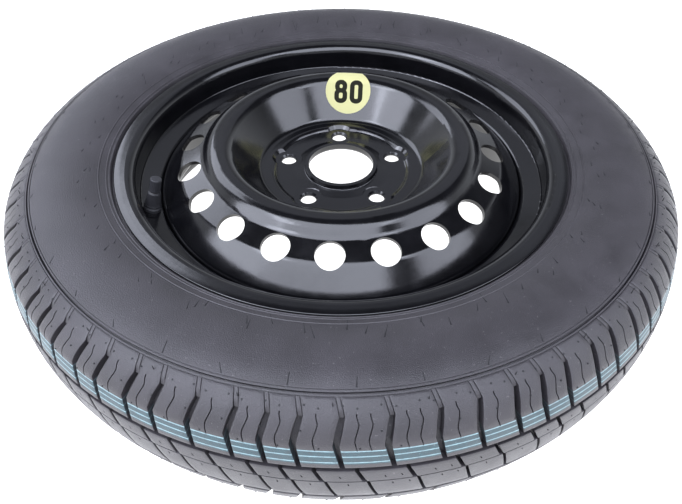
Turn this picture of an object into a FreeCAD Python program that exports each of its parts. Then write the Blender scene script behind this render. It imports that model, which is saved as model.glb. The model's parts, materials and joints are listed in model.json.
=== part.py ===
"""Temporary spare wheel: a narrow tyre on a pressed steel wheel with a snap-in valve.

Millimetres. The origin is the wheel's centre on the tyre's middle plane, and +Z is the
wheel's axis towards its outer face. The wheel lies flat, outer face up.
"""
import FreeCAD, Part
import math
import os
import re
import Sketcher
from FreeCAD import Placement, Rotation, Vector

doc = FreeCAD.newDocument("spare_wheel")
sheet = doc.addObject("Spreadsheet::Sheet", "Sizes")

# Driving dimensions in millimetres and degrees. Radii are from the wheel's axis.
SIZES = {
    # Tyre section
    "tyre_radius": 324.7,
    "section_half_width": 66.0,
    "widest_radius": 272.0,
    "sidewall_arc": 54.0,
    "lower_sidewall_arc": 110.0,
    "tread_drop": 7.7,
    "tread_edge_height": 42.0,
    "crown_arc": 118.0,
    "tread_thickness": 11.0,
    "sidewall_thickness": 6.5,
    "bead_fit": 0.3,
    "bead_heel_round": 7.5,
    "bead_toe_height": 29.0,
    "bead_thickness": 9.0,
    "liner_lower_arc": 85.0,
    "liner_shoulder_arc": 36.0,
    "liner_crown_arc": 86.0,
    # Tread grooves
    "main_groove_height": 21.0,
    "main_groove_width": 3.6,
    "main_groove_depth": 7.5,
    "main_groove_taper": 0.6,
    "shoulder_line_radius": 290.9,
    "shoulder_line_width": 1.5,
    "shoulder_line_depth": 1.5,
    "tread_pitch_count": 75,
    "groove_depth": 5.4,
    "groove_top_depth": 0.8,
    "groove_top_width": 2.4,
    "groove_top_radius": 293.2,
    "groove_kink_width": 4.4,
    "groove_kink_radius": 304.0,
    "groove_kink_shift": 2.7,
    "groove_edge_width": 4.7,
    "groove_edge_shift": -1.2,
    "groove_foot_width": 4.0,
    "groove_foot_shift": 3.1,
    # Rim section, measured on the side that faces the air
    "rim_sheet": 2.5,
    "rim_half_width": 50.8,
    "bead_seat_radius": 203.2,
    "flange_radius": 219.5,
    "flange_round": 9.0,
    "flange_edge_round": 1.1,
    "seat_height": 27.0,
    "seat_round": 2.0,
    "well_radius": 182.0,
    "well_slope": 18.0,
    "well_round": 5.0,
    # Wheel disc section, measured on its outer face
    "disc_sheet": 3.8,
    "bore_radius": 33.05,
    "collar_height": 27.0,
    "collar_foot_height": 22.2,
    "collar_round": 1.2,
    "pad_height": 20.8,
    "pad_inner_radius": 48.5,
    "pad_outer_radius": 66.5,
    "pad_round": 3.0,
    "hub_ring_height": 24.0,
    "hub_ring_inner_radius": 70.0,
    "hub_ring_outer_radius": 82.5,
    "hub_ring_round": 6.8,
    "dish_round": 8.0,
    "crown_height": 61.0,
    "crown_inner_radius": 111.3,
    "crown_outer_radius": 128.0,
    "crown_round": 13.0,
    "shelf_inner_radius": 137.0,
    "shelf_inner_height": 51.5,
    "shelf_outer_radius": 159.0,
    "shelf_outer_height": 43.5,
    "shelf_round": 10.0,
    "disc_shoulder_height": 20.6,
    "disc_shoulder_round": 10.0,
    "disc_flange_end": -8.0,
    "disc_fit": 0.05,
    # Holes in the disc
    "bolt_circle": 114.3,
    "bolt_count": 5,
    "bolt_angle": 92.0,
    "bolt_hole_radius": 7.25,
    "bolt_seat_radius": 8.8,
    "bolt_seat_depth": 2.3,
    "lobe_radius": 14.0,
    "lobe_draft": 3.0,
    "lobe_reach": 1.0,
    "vent_count": 20,
    "vent_angle": -93.5,
    "vent_circle_radius": 151.2,
    "vent_radius": 13.0,
    # Welds between the disc's flange and the rim's well
    "weld_count": 8,
    "weld_sweep": 22.0,
    "weld_leg": 3.6,
    # Speed label on the dish
    "label_radius": 25.0,
    "label_thickness": 0.25,
    "label_gap": 0.05,
    "label_angle": 85.5,
    "label_centre": 13.6,
    "label_end_radius": 123.0,
    # Valve, measured along its own axis from the rim's face
    "valve_angle": 200.5,
    "valve_circle_radius": 192.0,
    "valve_hole_radius": 5.75,
    "valve_hole_reach": 10.0,
    "valve_neck_fit": 0.15,
    "valve_flare_radius": 8.3,
    "valve_flare_height": 3.0,
    "valve_bulb_radius": 9.3,
    "valve_bulb_end_radius": 7.0,
    "valve_bulb_length": 5.5,
    "valve_rubber_length": 21.0,
    "valve_rubber_tip_radius": 6.0,
    "valve_ridge_pitch": 3.0,
    "valve_ridge_depth": 1.0,
    "valve_air_hole_radius": 1.7,
    "stem_radius": 3.8,
    "stem_start": 2.0,
    "stem_end": 33.0,
    "stem_fit": 0.05,
    "stem_anchor_radius": 4.6,
    "stem_anchor_length": 2.2,
    "stem_chamfer": 0.5,
    "core_thread_radius": 2.6,
    "core_thread_end": 26.8,
    "core_seat_radius": 1.95,
    "core_seat_end": 24.6,
    "core_fit": 0.1,
    "core_recess": 0.4,
    "barrel_end": 17.0,
    "barrel_tube_radius": 1.75,
    "barrel_tube_bore": 1.4,
    "barrel_floor": 0.9,
    "barrel_air_gap": 0.4,
    "core_notch_start": 1.1,
    "core_notch_depth": 1.8,
    "pin_radius": 0.45,
    "pin_fit": 0.05,
    "pin_collar_radius": 1.2,
    "pin_collar_start": 24.5,
    "pin_collar_length": 0.8,
    "pin_end": 14.6,
    "cup_radius": 1.7,
    "cup_wall": 0.3,
    "cup_seal_thickness": 0.6,
    "spring_wire": 0.32,
    "spring_radius": 0.98,
    "spring_turns": 7,
    "cap_radius": 5.15,
    "cap_length": 13.0,
    "cap_fit": 0.2,
    "cap_seal_thickness": 0.6,
    "cap_roof": 1.2,
    "cap_round": 1.0,
    "cap_flute_count": 20,
    "cap_flute_radius": 0.5,
    "cap_flute_depth": 0.33,
    "cap_flute_end": 2.0,
}


def fill_sheet():
    """Write each size into its own cell, under its own alias."""
    for row, (alias, value) in enumerate(SIZES.items(), start=1):
        sheet.set(f"A{row}", alias)
        sheet.set(f"B{row}", str(value))
        sheet.setAlias(f"B{row}", alias)
    doc.recompute()


def bound(formula):
    """Give the expression in which each alias of the formula is a cell of the sheet."""
    words = [f"Sizes.{word}" if word in SIZES else word for word in formula.split()]
    return re.sub(r"(\w) \(", r"\1(", " ".join(words))


def measure(formula):
    """Give a formula's value in millimetres, degrees or plain numbers."""
    value = sheet.evalExpression(bound(formula))
    return float(getattr(value, "Value", value))


def origin_feature(body, role):
    """Find a plane or an axis of the body's own origin."""
    return next(item for item in body.Origin.OriginFeatures if item.Role == role)


def new_body(label):
    """Start a sub-part."""
    body = doc.addObject("PartDesign::Body", label)
    body.Label = label
    return body


def new_sketch(body, name, plane="XZ_Plane"):
    """Start a sketch on one of the body's origin planes."""
    sketch = body.newObject("Sketcher::SketchObject", name)
    sketch.AttachmentSupport = [(origin_feature(body, plane), "")]
    sketch.MapMode = "FlatFace"
    return sketch


class Drawing:
    """A sketch under construction: its geometry, its constraints and their formulas."""

    def __init__(self, sketch):
        self.sketch = sketch
        self.constraints = []
        self.formulas = {}

    def add(self, geometry, construction=False):
        """Add one line, arc or point and give its number."""
        return self.sketch.addGeometry(geometry, construction)

    def rule(self, *arguments, formula=None):
        """Add a constraint, with the formula that drives its value."""
        if formula is not None:
            self.formulas[len(self.constraints)] = formula
            arguments = (*arguments, measure(formula))
        self.constraints.append(Sketcher.Constraint(*arguments))

    def fix(self, item, position, r, z):
        """Hold a point at the formulas for its radius and height."""
        for kind, axis, formula in (("DistanceX", -2, r), ("DistanceY", -1, z)):
            if formula == "0":
                self.rule("PointOnObject", item, position, axis)
            else:
                self.rule(kind, -1, 1, item, position, formula=formula)

    def close(self):
        """Solve the sketch with all its constraints bound to the sheet."""
        self.sketch.addConstraint(self.constraints)
        for number, formula in self.formulas.items():
            self.sketch.setExpression(f"Constraints[{number}]", bound(formula))
        doc.recompute()
        return self.sketch


def unit(start, end):
    """Give the direction from one point to another."""
    return (end - start).normalize()


def round_arc(before, corner, after, radius):
    """Give the arc that rounds a corner, and whether it runs backwards along the outline."""
    back = unit(corner, before)
    ahead = unit(corner, after)
    half = back.getAngle(ahead) / 2
    reach = radius / math.tan(half)
    centre = corner + (back + ahead).normalize() * (radius / math.sin(half))
    first = corner + back * reach
    last = corner + ahead * reach
    middle = centre + unit(centre, corner) * radius
    backwards = back.cross(ahead).z > 0
    ends = (last, first) if backwards else (first, last)
    return Part.Arc(ends[0], middle, ends[1]), backwards, first, last


class Corner:
    """A corner of a section, and the edge that leaves it.

    The bend is the corner's own radius. The arc is the radius of the edge that runs from this
    corner to the next: it bulges out of the section, or into it where hollow is set.
    """

    def __init__(self, r, z, bend=None, arc=None, hollow=False):
        self.r = r
        self.z = z
        self.bend = bend
        self.arc = arc
        self.hollow = hollow

    def point(self):
        """Give the corner's place in its sketch."""
        return Vector(measure(self.r), measure(self.z), 0)


def draw_edge(drawing, corner, start, end):
    """Draw the edge that leaves a corner, and give its number and its two ends' positions."""
    if corner.arc is None:
        return drawing.add(Part.LineSegment(start, end)), 1, 2
    radius = measure(corner.arc)
    half = (end - start).Length / 2
    along = unit(start, end)
    out = Vector(along.y, -along.x, 0) * (-1 if corner.hollow else 1)
    top = (start + end) / 2 + out * (radius - math.sqrt(radius ** 2 - half ** 2))
    ends = (end, start) if corner.hollow else (start, end)
    number = drawing.add(Part.Arc(ends[0], top, ends[1]))
    drawing.rule("Radius", number, formula=corner.arc)
    return (number, 2, 1) if corner.hollow else (number, 1, 2)


def outline(body, name, corners):
    """Draw a closed section through corners that run counter-clockwise."""
    drawing = Drawing(new_sketch(body, name))
    points = [corner.point() for corner in corners]
    count = len(points)
    rounds = {}
    for index, corner in enumerate(corners):
        if corner.bend is not None:
            after = points[(index + 1) % count]
            rounds[index] = round_arc(points[index - 1], points[index], after, measure(corner.bend))
    edges = []
    for index, corner in enumerate(corners):
        following = (index + 1) % count
        start = rounds[index][3] if index in rounds else points[index]
        end = rounds[following][2] if following in rounds else points[following]
        edges.append(draw_edge(drawing, corner, start, end))
    for index, corner in enumerate(corners):
        before, before_end = edges[index - 1][0], edges[index - 1][2]
        after, after_start = edges[index][0], edges[index][1]
        if index not in rounds:
            drawing.rule("Coincident", before, before_end, after, after_start)
            drawing.fix(after, after_start, corner.r, corner.z)
            continue
        arc, backwards = rounds[index][:2]
        number = drawing.add(arc)
        near, far = (2, 1) if backwards else (1, 2)
        drawing.rule("Tangent", before, before_end, number, near)
        drawing.rule("Tangent", number, far, after, after_start)
        drawing.rule("Radius", number, formula=corner.bend)
        mark = drawing.add(Part.Point(points[index]), True)
        drawing.rule("PointOnObject", mark, 1, before)
        drawing.rule("PointOnObject", mark, 1, after)
        drawing.fix(mark, 1, corner.r, corner.z)
    return drawing.close()


def crossing(point, along, other, other_along):
    """Give the point where two lines cross."""
    reach = (other - point).cross(other_along).z / along.cross(other_along).z
    return point + along * reach


def sheet_chain(drawing, points, radii):
    """Draw one face of a bent sheet, and give its lines and the arcs at its bends."""
    count = len(points)
    arcs = {}
    for index in range(1, count - 1):
        if radii[index] > 0:
            arcs[index] = round_arc(points[index - 1], points[index], points[index + 1], radii[index])
    lines = []
    for index in range(count - 1):
        start = arcs[index][3] if index in arcs else points[index]
        end = arcs[index + 1][2] if index + 1 in arcs else points[index + 1]
        lines.append(drawing.add(Part.LineSegment(start, end)))
    bends = {}
    for index in range(1, count - 1):
        if index not in arcs:
            drawing.rule("Coincident", lines[index - 1], 2, lines[index], 1)
            continue
        bends[index] = drawing.add(arcs[index][0])
        near, far = (2, 1) if arcs[index][1] else (1, 2)
        drawing.rule("Tangent", lines[index - 1], 2, bends[index], near)
        drawing.rule("Tangent", bends[index], far, lines[index], 1)
    return lines, bends


def bent_sheet(body, name, corners, thickness):
    """Draw the section of a bent sheet from its outer face and its thickness.

    Each corner is (radius, height, bend), where the bend is the radius on the drawn face. The
    sheet lies to the right of the drawn face.
    """
    drawing = Drawing(new_sketch(body, name))
    gauge = measure(thickness)
    face = [Vector(measure(corner[0]), measure(corner[1]), 0) for corner in corners]
    runs = [unit(start, end) for start, end in zip(face, face[1:])]
    shifts = [Vector(run.y, -run.x, 0) * gauge for run in runs]
    back = [face[0] + shifts[0]]
    for index in range(1, len(runs)):
        back.append(crossing(face[index] + shifts[index - 1], runs[index - 1],
                             face[index] + shifts[index], runs[index]))
    back.append(face[-1] + shifts[-1])
    face_radii = [0.0] * len(face)
    back_radii = [0.0] * len(face)
    back_formulas = {}
    for index in range(1, len(face) - 1):
        right_turn = runs[index - 1].cross(runs[index]).z < 0
        sign = "-" if right_turn else "+"
        back_formulas[index] = f"{corners[index][2]} {sign} {thickness}"
        face_radii[index] = measure(corners[index][2])
        back_radii[index] = measure(back_formulas[index])
    lines, bends = sheet_chain(drawing, face, face_radii)
    back_lines, back_bends = sheet_chain(drawing, back, back_radii)
    for index, bend in bends.items():
        drawing.rule("Radius", bend, formula=corners[index][2])
        mark = drawing.add(Part.Point(face[index]), True)
        drawing.rule("PointOnObject", mark, 1, lines[index - 1])
        drawing.rule("PointOnObject", mark, 1, lines[index])
        drawing.fix(mark, 1, corners[index][0], corners[index][1])
    for index, bend in back_bends.items():
        drawing.rule("Radius", bend, formula=back_formulas[index])
    for line, back_line in zip(lines, back_lines):
        drawing.rule("Parallel", line, back_line)
        drawing.rule("Distance", back_line, 1, line, formula=thickness)
    for end, position in ((0, 1), (-1, 2)):
        cap = drawing.add(Part.LineSegment(face[end], back[end]))
        drawing.rule("Coincident", cap, 1, lines[end], position)
        drawing.rule("Coincident", cap, 2, back_lines[end], position)
        drawing.rule("Perpendicular", cap, lines[end])
        drawing.fix(lines[end], position, corners[end][0], corners[end][1])
    return drawing.close()


def turn(body, sketch, kind="PartDesign::Revolution", sweep=None):
    """Turn a section about the body's own axis, to add or to cut."""
    feature = body.newObject(kind, f"{sketch.Name}_turned")
    feature.Profile = sketch
    feature.ReferenceAxis = (sketch, ["V_Axis"])
    feature.Angle = 360
    if sweep is not None:
        feature.setExpression("Angle", bound(sweep))
    body.Tip = feature
    doc.recompute()
    return feature


def place(feature, body, x, y, z, angle="0", tilt="0"):
    """Set a feature at a point, leaned towards the axis by a tilt, then swung by an angle."""
    feature.AttachmentSupport = [(origin_feature(body, "XY_Plane"), "")]
    feature.MapMode = "FlatFace"
    swing = Rotation(Vector(0, 0, 1), measure(angle)) * Rotation(Vector(0, 1, 0), -measure(tilt))
    feature.AttachmentOffset = Placement(Vector(), swing)
    for letter, formula in (("x", x), ("y", y), ("z", z)):
        feature.setExpression(f"AttachmentOffset.Base.{letter}", bound(formula))


def ring_of(body, name, originals, count):
    """Repeat features evenly round the axis."""
    pattern = body.newObject("PartDesign::PolarPattern", name)
    pattern.Originals = originals
    pattern.Axis = (origin_feature(body, "Z_Axis"), [""])
    pattern.Angle = 360
    pattern.setExpression("Occurrences", bound(count))
    body.Tip = pattern
    doc.recompute()
    return pattern


# Distance within which two places count as the same.
CLOSE = 0.01


def edges_at(shape, radius, height):
    """Name the round edges that lie at a radius and a height."""
    names = []
    for number, edge in enumerate(shape.Edges, start=1):
        curve = edge.Curve
        if isinstance(curve, Part.Circle):
            if abs(curve.Radius - radius) < CLOSE and abs(curve.Center.z - height) < CLOSE:
                names.append(f"Edge{number}")
    return names


def fillet(body, name, base, edges, radius):
    """Round edges of the body's last feature."""
    feature = body.newObject("PartDesign::Fillet", name)
    feature.Base = (base, edges)
    feature.setExpression("Radius", bound(radius))
    body.Tip = feature
    doc.recompute()
    return feature


# Height of the rim's face under the valve, on the slope from the bead seat to the well.
VALVE_HEIGHT = ("( seat_height - ( bead_seat_radius - rim_sheet - valve_circle_radius )"
                " * tan ( well_slope ) )")
# Angle of the dish's wall and of the vents' shelf from the wheel's middle plane.
DISH_ANGLE = ("atan2 ( crown_height - hub_ring_height ;"
              " crown_inner_radius - hub_ring_outer_radius )")
SHELF_ANGLE = ("atan2 ( shelf_inner_height - shelf_outer_height ;"
               " shelf_outer_radius - shelf_inner_radius )")
# Radius of the disc's flange, pressed into the rim's well.
DISC_RADIUS = "( well_radius - disc_fit )"


def make_rim():
    """Roll the rim: two flanges, two bead seats and the drop-centre well between them."""
    body = new_body("rim")
    flange_top = "rim_half_width + rim_sheet"
    wall = "bead_seat_radius - rim_sheet"
    upper = [
        ("well_radius", f"seat_height - ( {wall} - well_radius ) * tan ( well_slope )", "well_round"),
        (wall, "seat_height", "seat_round"),
        (wall, flange_top, "flange_round"),
        ("flange_radius", flange_top, None),
    ]
    lower = [(r, f"-1 * ( {z} )", bend) for r, z, bend in reversed(upper)]
    turned = turn(body, bent_sheet(body, "rim_section", lower + upper, "rim_sheet"))
    lips = []
    for side in (1, -1):
        for height in (flange_top, "rim_half_width"):
            lips += edges_at(turned.Shape, measure("flange_radius"), side * measure(height))
    fillet(body, "rim_lips", turned, lips, "flange_edge_round")
    hole = body.newObject("PartDesign::SubtractiveCylinder", "valve_hole")
    hole.setExpression("Radius", bound("valve_hole_radius"))
    hole.setExpression("Height", bound("2 * valve_hole_reach"))
    reach_in = "( valve_circle_radius + valve_hole_reach * sin ( well_slope ) )"
    place(hole, body, f"{reach_in} * cos ( valve_angle )", f"{reach_in} * sin ( valve_angle )",
          f"{VALVE_HEIGHT} - valve_hole_reach * cos ( well_slope )", "valve_angle", "well_slope")
    body.Tip = hole
    doc.recompute()
    return body


def bolt_seats(body):
    """Press the pads round the bolt holes, then punch the holes and cone their seats."""
    across = "bolt_circle / 2 * cos ( bolt_angle )"
    along = "bolt_circle / 2 * sin ( bolt_angle )"
    rise = "( hub_ring_height - pad_height )"
    cones = [
        ("lobe_back", "PartDesign::AdditiveCone", "lobe_radius + lobe_draft",
         f"lobe_radius + lobe_draft + {rise}", rise, "pad_height - disc_sheet"),
        ("lobe_face", "PartDesign::SubtractiveCone", "lobe_radius",
         f"lobe_radius + {rise} + lobe_reach", f"{rise} + lobe_reach", "pad_height"),
        ("bolt_seat", "PartDesign::SubtractiveCone", "bolt_hole_radius", "bolt_seat_radius",
         "bolt_seat_depth", "pad_height - bolt_seat_depth"),
    ]
    features = []
    for name, kind, foot, top, height, level in cones:
        cone = body.newObject(kind, name)
        cone.setExpression("Radius1", bound(foot))
        cone.setExpression("Radius2", bound(top))
        cone.setExpression("Height", bound(height))
        place(cone, body, across, along, level)
        features.append(cone)
    hole = body.newObject("PartDesign::SubtractiveCylinder", "bolt_hole")
    hole.setExpression("Radius", bound("bolt_hole_radius"))
    hole.setExpression("Height", bound("2 * disc_sheet"))
    place(hole, body, across, along, "pad_height - 2 * disc_sheet")
    features.append(hole)
    body.Tip = hole
    doc.recompute()
    return ring_of(body, "bolt_seats", features, "bolt_count")


def vents(body):
    """Punch the ring of vent holes square to their shelf."""
    hole = body.newObject("PartDesign::SubtractiveCylinder", "vent")
    hole.setExpression("Radius", bound("vent_radius"))
    hole.setExpression("Height", bound("4 * disc_sheet"))
    radius = f"( vent_circle_radius - 2 * disc_sheet * sin ( {SHELF_ANGLE} ) )"
    level = f"shelf_inner_height - ( vent_circle_radius - shelf_inner_radius ) * tan ( {SHELF_ANGLE} )"
    place(hole, body, f"{radius} * cos ( vent_angle )", f"{radius} * sin ( vent_angle )",
          f"{level} - 2 * disc_sheet * cos ( {SHELF_ANGLE} )", "vent_angle", f"-1 * {SHELF_ANGLE}")
    body.Tip = hole
    doc.recompute()
    return ring_of(body, "vents", [hole], "vent_count")


def make_wheel_disc():
    """Press the disc: bore collar, bolt pads, dish, crown, vent shelf and outer flange."""
    body = new_body("wheel_disc")
    face = [
        ("bore_radius + disc_sheet", "collar_height", None),
        ("bore_radius + disc_sheet", "collar_foot_height", "collar_round"),
        ("pad_inner_radius", "pad_height", "hub_ring_round"),
        ("pad_outer_radius", "pad_height", "pad_round"),
        ("hub_ring_inner_radius", "hub_ring_height", "hub_ring_round"),
        ("hub_ring_outer_radius", "hub_ring_height", "dish_round"),
        ("crown_inner_radius", "crown_height", "crown_round"),
        ("crown_outer_radius", "crown_height", "crown_round"),
        ("shelf_inner_radius", "shelf_inner_height", "shelf_round"),
        ("shelf_outer_radius", "shelf_outer_height", "shelf_round"),
        (DISC_RADIUS, "disc_shoulder_height", "disc_shoulder_round"),
        (DISC_RADIUS, "disc_flange_end", None),
    ]
    turn(body, bent_sheet(body, "disc_section", face, "disc_sheet"))
    bolt_seats(body)
    vents(body)
    return body


def make_disc_welds():
    """Lay the runs of weld between the disc's flange and the rim's well."""
    body = new_body("disc_welds")
    body.AllowCompound = True
    section = outline(body, "weld_section", [
        Corner(f"{DISC_RADIUS} - weld_leg", "disc_flange_end"),
        Corner(DISC_RADIUS, "disc_flange_end - weld_leg"),
        Corner(DISC_RADIUS, "disc_flange_end"),
    ])
    run = turn(body, section, sweep="weld_sweep")
    ring_of(body, "weld_runs", [run], "weld_count")
    return body


def make_speed_label():
    """Cut the round label from a thin layer that follows the dish's wall and its crown."""
    lift = "( label_gap + label_thickness )"
    corner_r = f"( crown_inner_radius - {lift} * tan ( {DISH_ANGLE} / 2 ) )"
    corner_z = f"( crown_height + {lift} )"
    wall = f"( ( crown_height - hub_ring_height ) / sin ( {DISH_ANGLE} ) - dish_round )"
    layer = new_body("label_layer")
    section = bent_sheet(layer, "label_section", [
        (f"{corner_r} - {wall} * cos ( {DISH_ANGLE} )",
         f"{corner_z} - {wall} * sin ( {DISH_ANGLE} )", None),
        (corner_r, corner_z, f"crown_round + {lift}"),
        ("label_end_radius", corner_z, None),
    ], "label_thickness")
    turn(layer, section)
    punch = doc.addObject("Part::Cylinder", "label_punch")
    punch.setExpression("Radius", bound("label_radius"))
    punch.setExpression("Height", bound("2 * label_radius"))
    tilt = measure(DISH_ANGLE)
    lean = Rotation(Vector(0, 0, 1), measure("label_angle")) * Rotation(Vector(0, 1, 0), -tilt)
    reach = measure("label_centre")
    radius = measure("crown_inner_radius") - reach * math.cos(math.radians(tilt))
    height = measure("crown_height") - reach * math.sin(math.radians(tilt))
    swing = Rotation(Vector(0, 0, 1), measure("label_angle"))
    centre = swing.multVec(Vector(radius, 0, height))
    punch.Placement = Placement(centre - lean.multVec(Vector(0, 0, measure("label_radius"))), lean)
    label = doc.addObject("Part::Common", "speed_label")
    label.Base = layer
    label.Tool = punch
    label.Label = "speed_label"
    doc.recompute()
    return label


def shoulder_rise(radius):
    """Give the shoulder's height above its arc's centre, at a radius."""
    return f"sqrt ( sidewall_arc ^ 2 - ( {radius} - widest_radius ) ^ 2 )"


# Height of the centre of the shoulder's arc, and radius of the crown arc's centre.
SHOULDER_CENTRE = "( section_half_width - sidewall_arc )"
CROWN_CENTRE = "( tyre_radius - crown_arc )"
# Radius of the tread's edge, where the crown meets the shoulder.
TREAD_EDGE = "( tyre_radius - tread_drop )"


def groove_path():
    """Give the shoulder groove's steps: place, lean, sideways shift, width and depth."""
    foot_rise = "sqrt ( crown_arc ^ 2 - main_groove_height ^ 2 )"
    steps = []
    for radius, shift, width, depth in (
        ("groove_top_radius", "0", "groove_top_width", "groove_top_depth"),
        ("groove_kink_radius", "groove_kink_shift", "groove_kink_width", "groove_depth"),
    ):
        rise = shoulder_rise(radius)
        lean = f"atan2 ( {rise} ; {radius} - widest_radius )"
        steps.append((radius, f"{SHOULDER_CENTRE} + {rise}", lean, shift, width, depth))
    edge_lean = f"atan2 ( tread_edge_height - {SHOULDER_CENTRE} ; {TREAD_EDGE} - widest_radius )"
    steps.append((TREAD_EDGE, "tread_edge_height", edge_lean,
                  "groove_edge_shift", "groove_edge_width", "groove_depth"))
    foot_lean = f"atan2 ( main_groove_height ; {foot_rise} )"
    steps.append((f"{CROWN_CENTRE} + {foot_rise}", "main_groove_height", foot_lean,
                  "groove_foot_shift", "groove_foot_width", "groove_depth"))
    return steps


def polygon(sketch, corners):
    """Draw a closed outline of straight lines through corners given by formulas."""
    drawing = Drawing(sketch)
    points = [Vector(measure(x), measure(y), 0) for x, y in corners]
    count = len(points)
    sides = [drawing.add(Part.LineSegment(points[i], points[(i + 1) % count])) for i in range(count)]
    for i, (x, y) in enumerate(corners):
        drawing.rule("Coincident", sides[i - 1], 2, sides[i], 1)
        drawing.fix(sides[i], 1, x, y)
    return drawing.close()


def shoulder_grooves(body):
    """Cut the zigzag grooves that run from the shoulder to the main groove."""
    sections = []
    for index, (r, z, lean, shift, width, depth) in enumerate(groove_path()):
        sketch = new_sketch(body, f"groove_step_{index}", "XY_Plane")
        low, high = f"-1 * {depth}", "groove_depth"
        left, right = f"{shift} - {width} / 2", f"{shift} + {width} / 2"
        polygon(sketch, [(low, left), (high, left), (high, right), (low, right)])
        place(sketch, body, r, "0", z, tilt=lean)
        sections.append(sketch)
    doc.recompute()
    groove = body.newObject("PartDesign::SubtractiveLoft", "shoulder_groove")
    groove.Profile = sections[0]
    groove.Sections = sections[1:]
    groove.Ruled = True
    body.Tip = groove
    doc.recompute()
    return ring_of(body, "shoulder_grooves", [groove], "tread_pitch_count")


def main_groove(body):
    """Turn the main groove round the tread, with walls that draw in to its floor."""
    floor = "tyre_radius - main_groove_depth"
    top = "tyre_radius + main_groove_depth"
    low = "main_groove_height - main_groove_width / 2"
    high = "main_groove_height + main_groove_width / 2"
    section = outline(body, "main_groove", [
        Corner(floor, f"{low} + main_groove_taper"),
        Corner(top, low),
        Corner(top, high),
        Corner(floor, f"{high} - main_groove_taper"),
    ])
    return turn(body, section, "PartDesign::Groove")


def shoulder_line(body):
    """Turn the line round the shoulder, above the tread's blocks."""
    inner = "shoulder_line_radius - shoulder_line_width / 2"
    outer = "shoulder_line_radius + shoulder_line_width / 2"
    floor = f"{SHOULDER_CENTRE} + {shoulder_rise('shoulder_line_radius')} - shoulder_line_depth"
    section = outline(body, "shoulder_line", [
        Corner(inner, floor),
        Corner(outer, floor),
        Corner(outer, "section_half_width"),
        Corner(inner, "section_half_width"),
    ])
    return turn(body, section, "PartDesign::Groove")


def make_tyre():
    """Mould the tyre: half its section turned and grooved, then mirrored."""
    body = new_body("tyre")
    outer_bead = "rim_half_width - bead_fit"
    seat = "bead_seat_radius + bead_fit"
    section = outline(body, "tyre_section", [
        Corner("tyre_radius - tread_thickness", "0"),
        Corner("tyre_radius", "0", arc="crown_arc"),
        Corner(TREAD_EDGE, "tread_edge_height", arc="sidewall_arc"),
        Corner("widest_radius", "section_half_width", arc="lower_sidewall_arc"),
        Corner("flange_radius + bead_fit", "rim_half_width + rim_sheet"),
        Corner("flange_radius + bead_fit", outer_bead),
        Corner(seat, outer_bead, bend="bead_heel_round"),
        Corner(seat, "bead_toe_height"),
        Corner("flange_radius + bead_fit", "rim_half_width + rim_sheet - bead_thickness",
               arc="liner_lower_arc", hollow=True),
        Corner("widest_radius", "section_half_width - sidewall_thickness",
               arc="liner_shoulder_arc", hollow=True),
        Corner(f"{TREAD_EDGE} - tread_thickness", "tread_edge_height - sidewall_thickness",
               arc="liner_crown_arc", hollow=True),
    ])
    turn(body, section)
    shoulder_line(body)
    main_groove(body)
    shoulder_grooves(body)
    mirrored = body.newObject("PartDesign::Mirrored", "other_half")
    mirrored.TransformMode = "Whole shape"
    mirrored.MirrorPlane = (origin_feature(body, "XY_Plane"), [""])
    body.Tip = mirrored
    doc.recompute()
    return body


def seat_on_rim(body):
    """Set a valve piece on the rim, with its own axis square to the slope it passes through."""
    swing = Rotation(Vector(0, 0, 1), measure("valve_angle"))
    foot = swing.multVec(Vector(measure("valve_circle_radius"), 0, measure(VALVE_HEIGHT)))
    body.Placement = Placement(foot, swing * Rotation(Vector(0, 1, 0), -measure("well_slope")))
    doc.recompute()
    return body


def valve_piece(label, corners):
    """Turn one piece of the valve and seat it on the rim."""
    body = new_body(label)
    turn(body, outline(body, f"{label}_section", corners))
    return body


def make_valve_body():
    """Mould the rubber body: the bulb inside the rim, the neck, the flare and the taper."""
    neck = "valve_hole_radius - valve_neck_fit"
    inside = "-1 * ( rim_sheet + valve_neck_fit )"
    pocket = "stem_radius + stem_fit"
    anchor = "stem_anchor_radius + stem_fit"
    anchor_top = "stem_start + stem_anchor_length + stem_fit"
    ridge = "valve_flare_radius - valve_ridge_depth"
    return seat_on_rim(valve_piece("valve_body", [
        Corner("valve_air_hole_radius", f"{inside} - valve_bulb_length"),
        Corner("valve_bulb_end_radius", f"{inside} - valve_bulb_length"),
        Corner("valve_bulb_radius", inside),
        Corner(neck, inside),
        Corner(neck, "valve_neck_fit"),
        Corner("valve_flare_radius", "valve_neck_fit"),
        Corner("valve_flare_radius", "valve_flare_height"),
        Corner(ridge, "valve_flare_height + valve_ridge_pitch / 2"),
        Corner(f"{ridge} + valve_ridge_depth / 2", "valve_flare_height + valve_ridge_pitch"),
        Corner(ridge, "valve_flare_height + valve_ridge_pitch * 3 / 2"),
        Corner("valve_rubber_tip_radius", "valve_rubber_length - valve_ridge_pitch / 2"),
        Corner("valve_rubber_tip_radius - valve_ridge_depth", "valve_rubber_length"),
        Corner(pocket, "valve_rubber_length"),
        Corner(pocket, anchor_top),
        Corner(anchor, anchor_top),
        Corner(anchor, "stem_start - stem_fit"),
        Corner("valve_air_hole_radius", "stem_start - stem_fit"),
    ]))


def make_valve_stem():
    """Turn the brass tube that the rubber is moulded round."""
    return seat_on_rim(valve_piece("valve_stem", [
        Corner("core_seat_radius", "stem_start"),
        Corner("stem_anchor_radius", "stem_start"),
        Corner("stem_anchor_radius", "stem_start + stem_anchor_length"),
        Corner("stem_radius", "stem_start + stem_anchor_length"),
        Corner("stem_radius", "stem_end - stem_chamfer"),
        Corner("stem_radius - stem_chamfer", "stem_end"),
        Corner("core_thread_radius", "stem_end"),
        Corner("core_thread_radius", "core_thread_end"),
        Corner("core_seat_radius", "core_seat_end"),
    ]))


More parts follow.
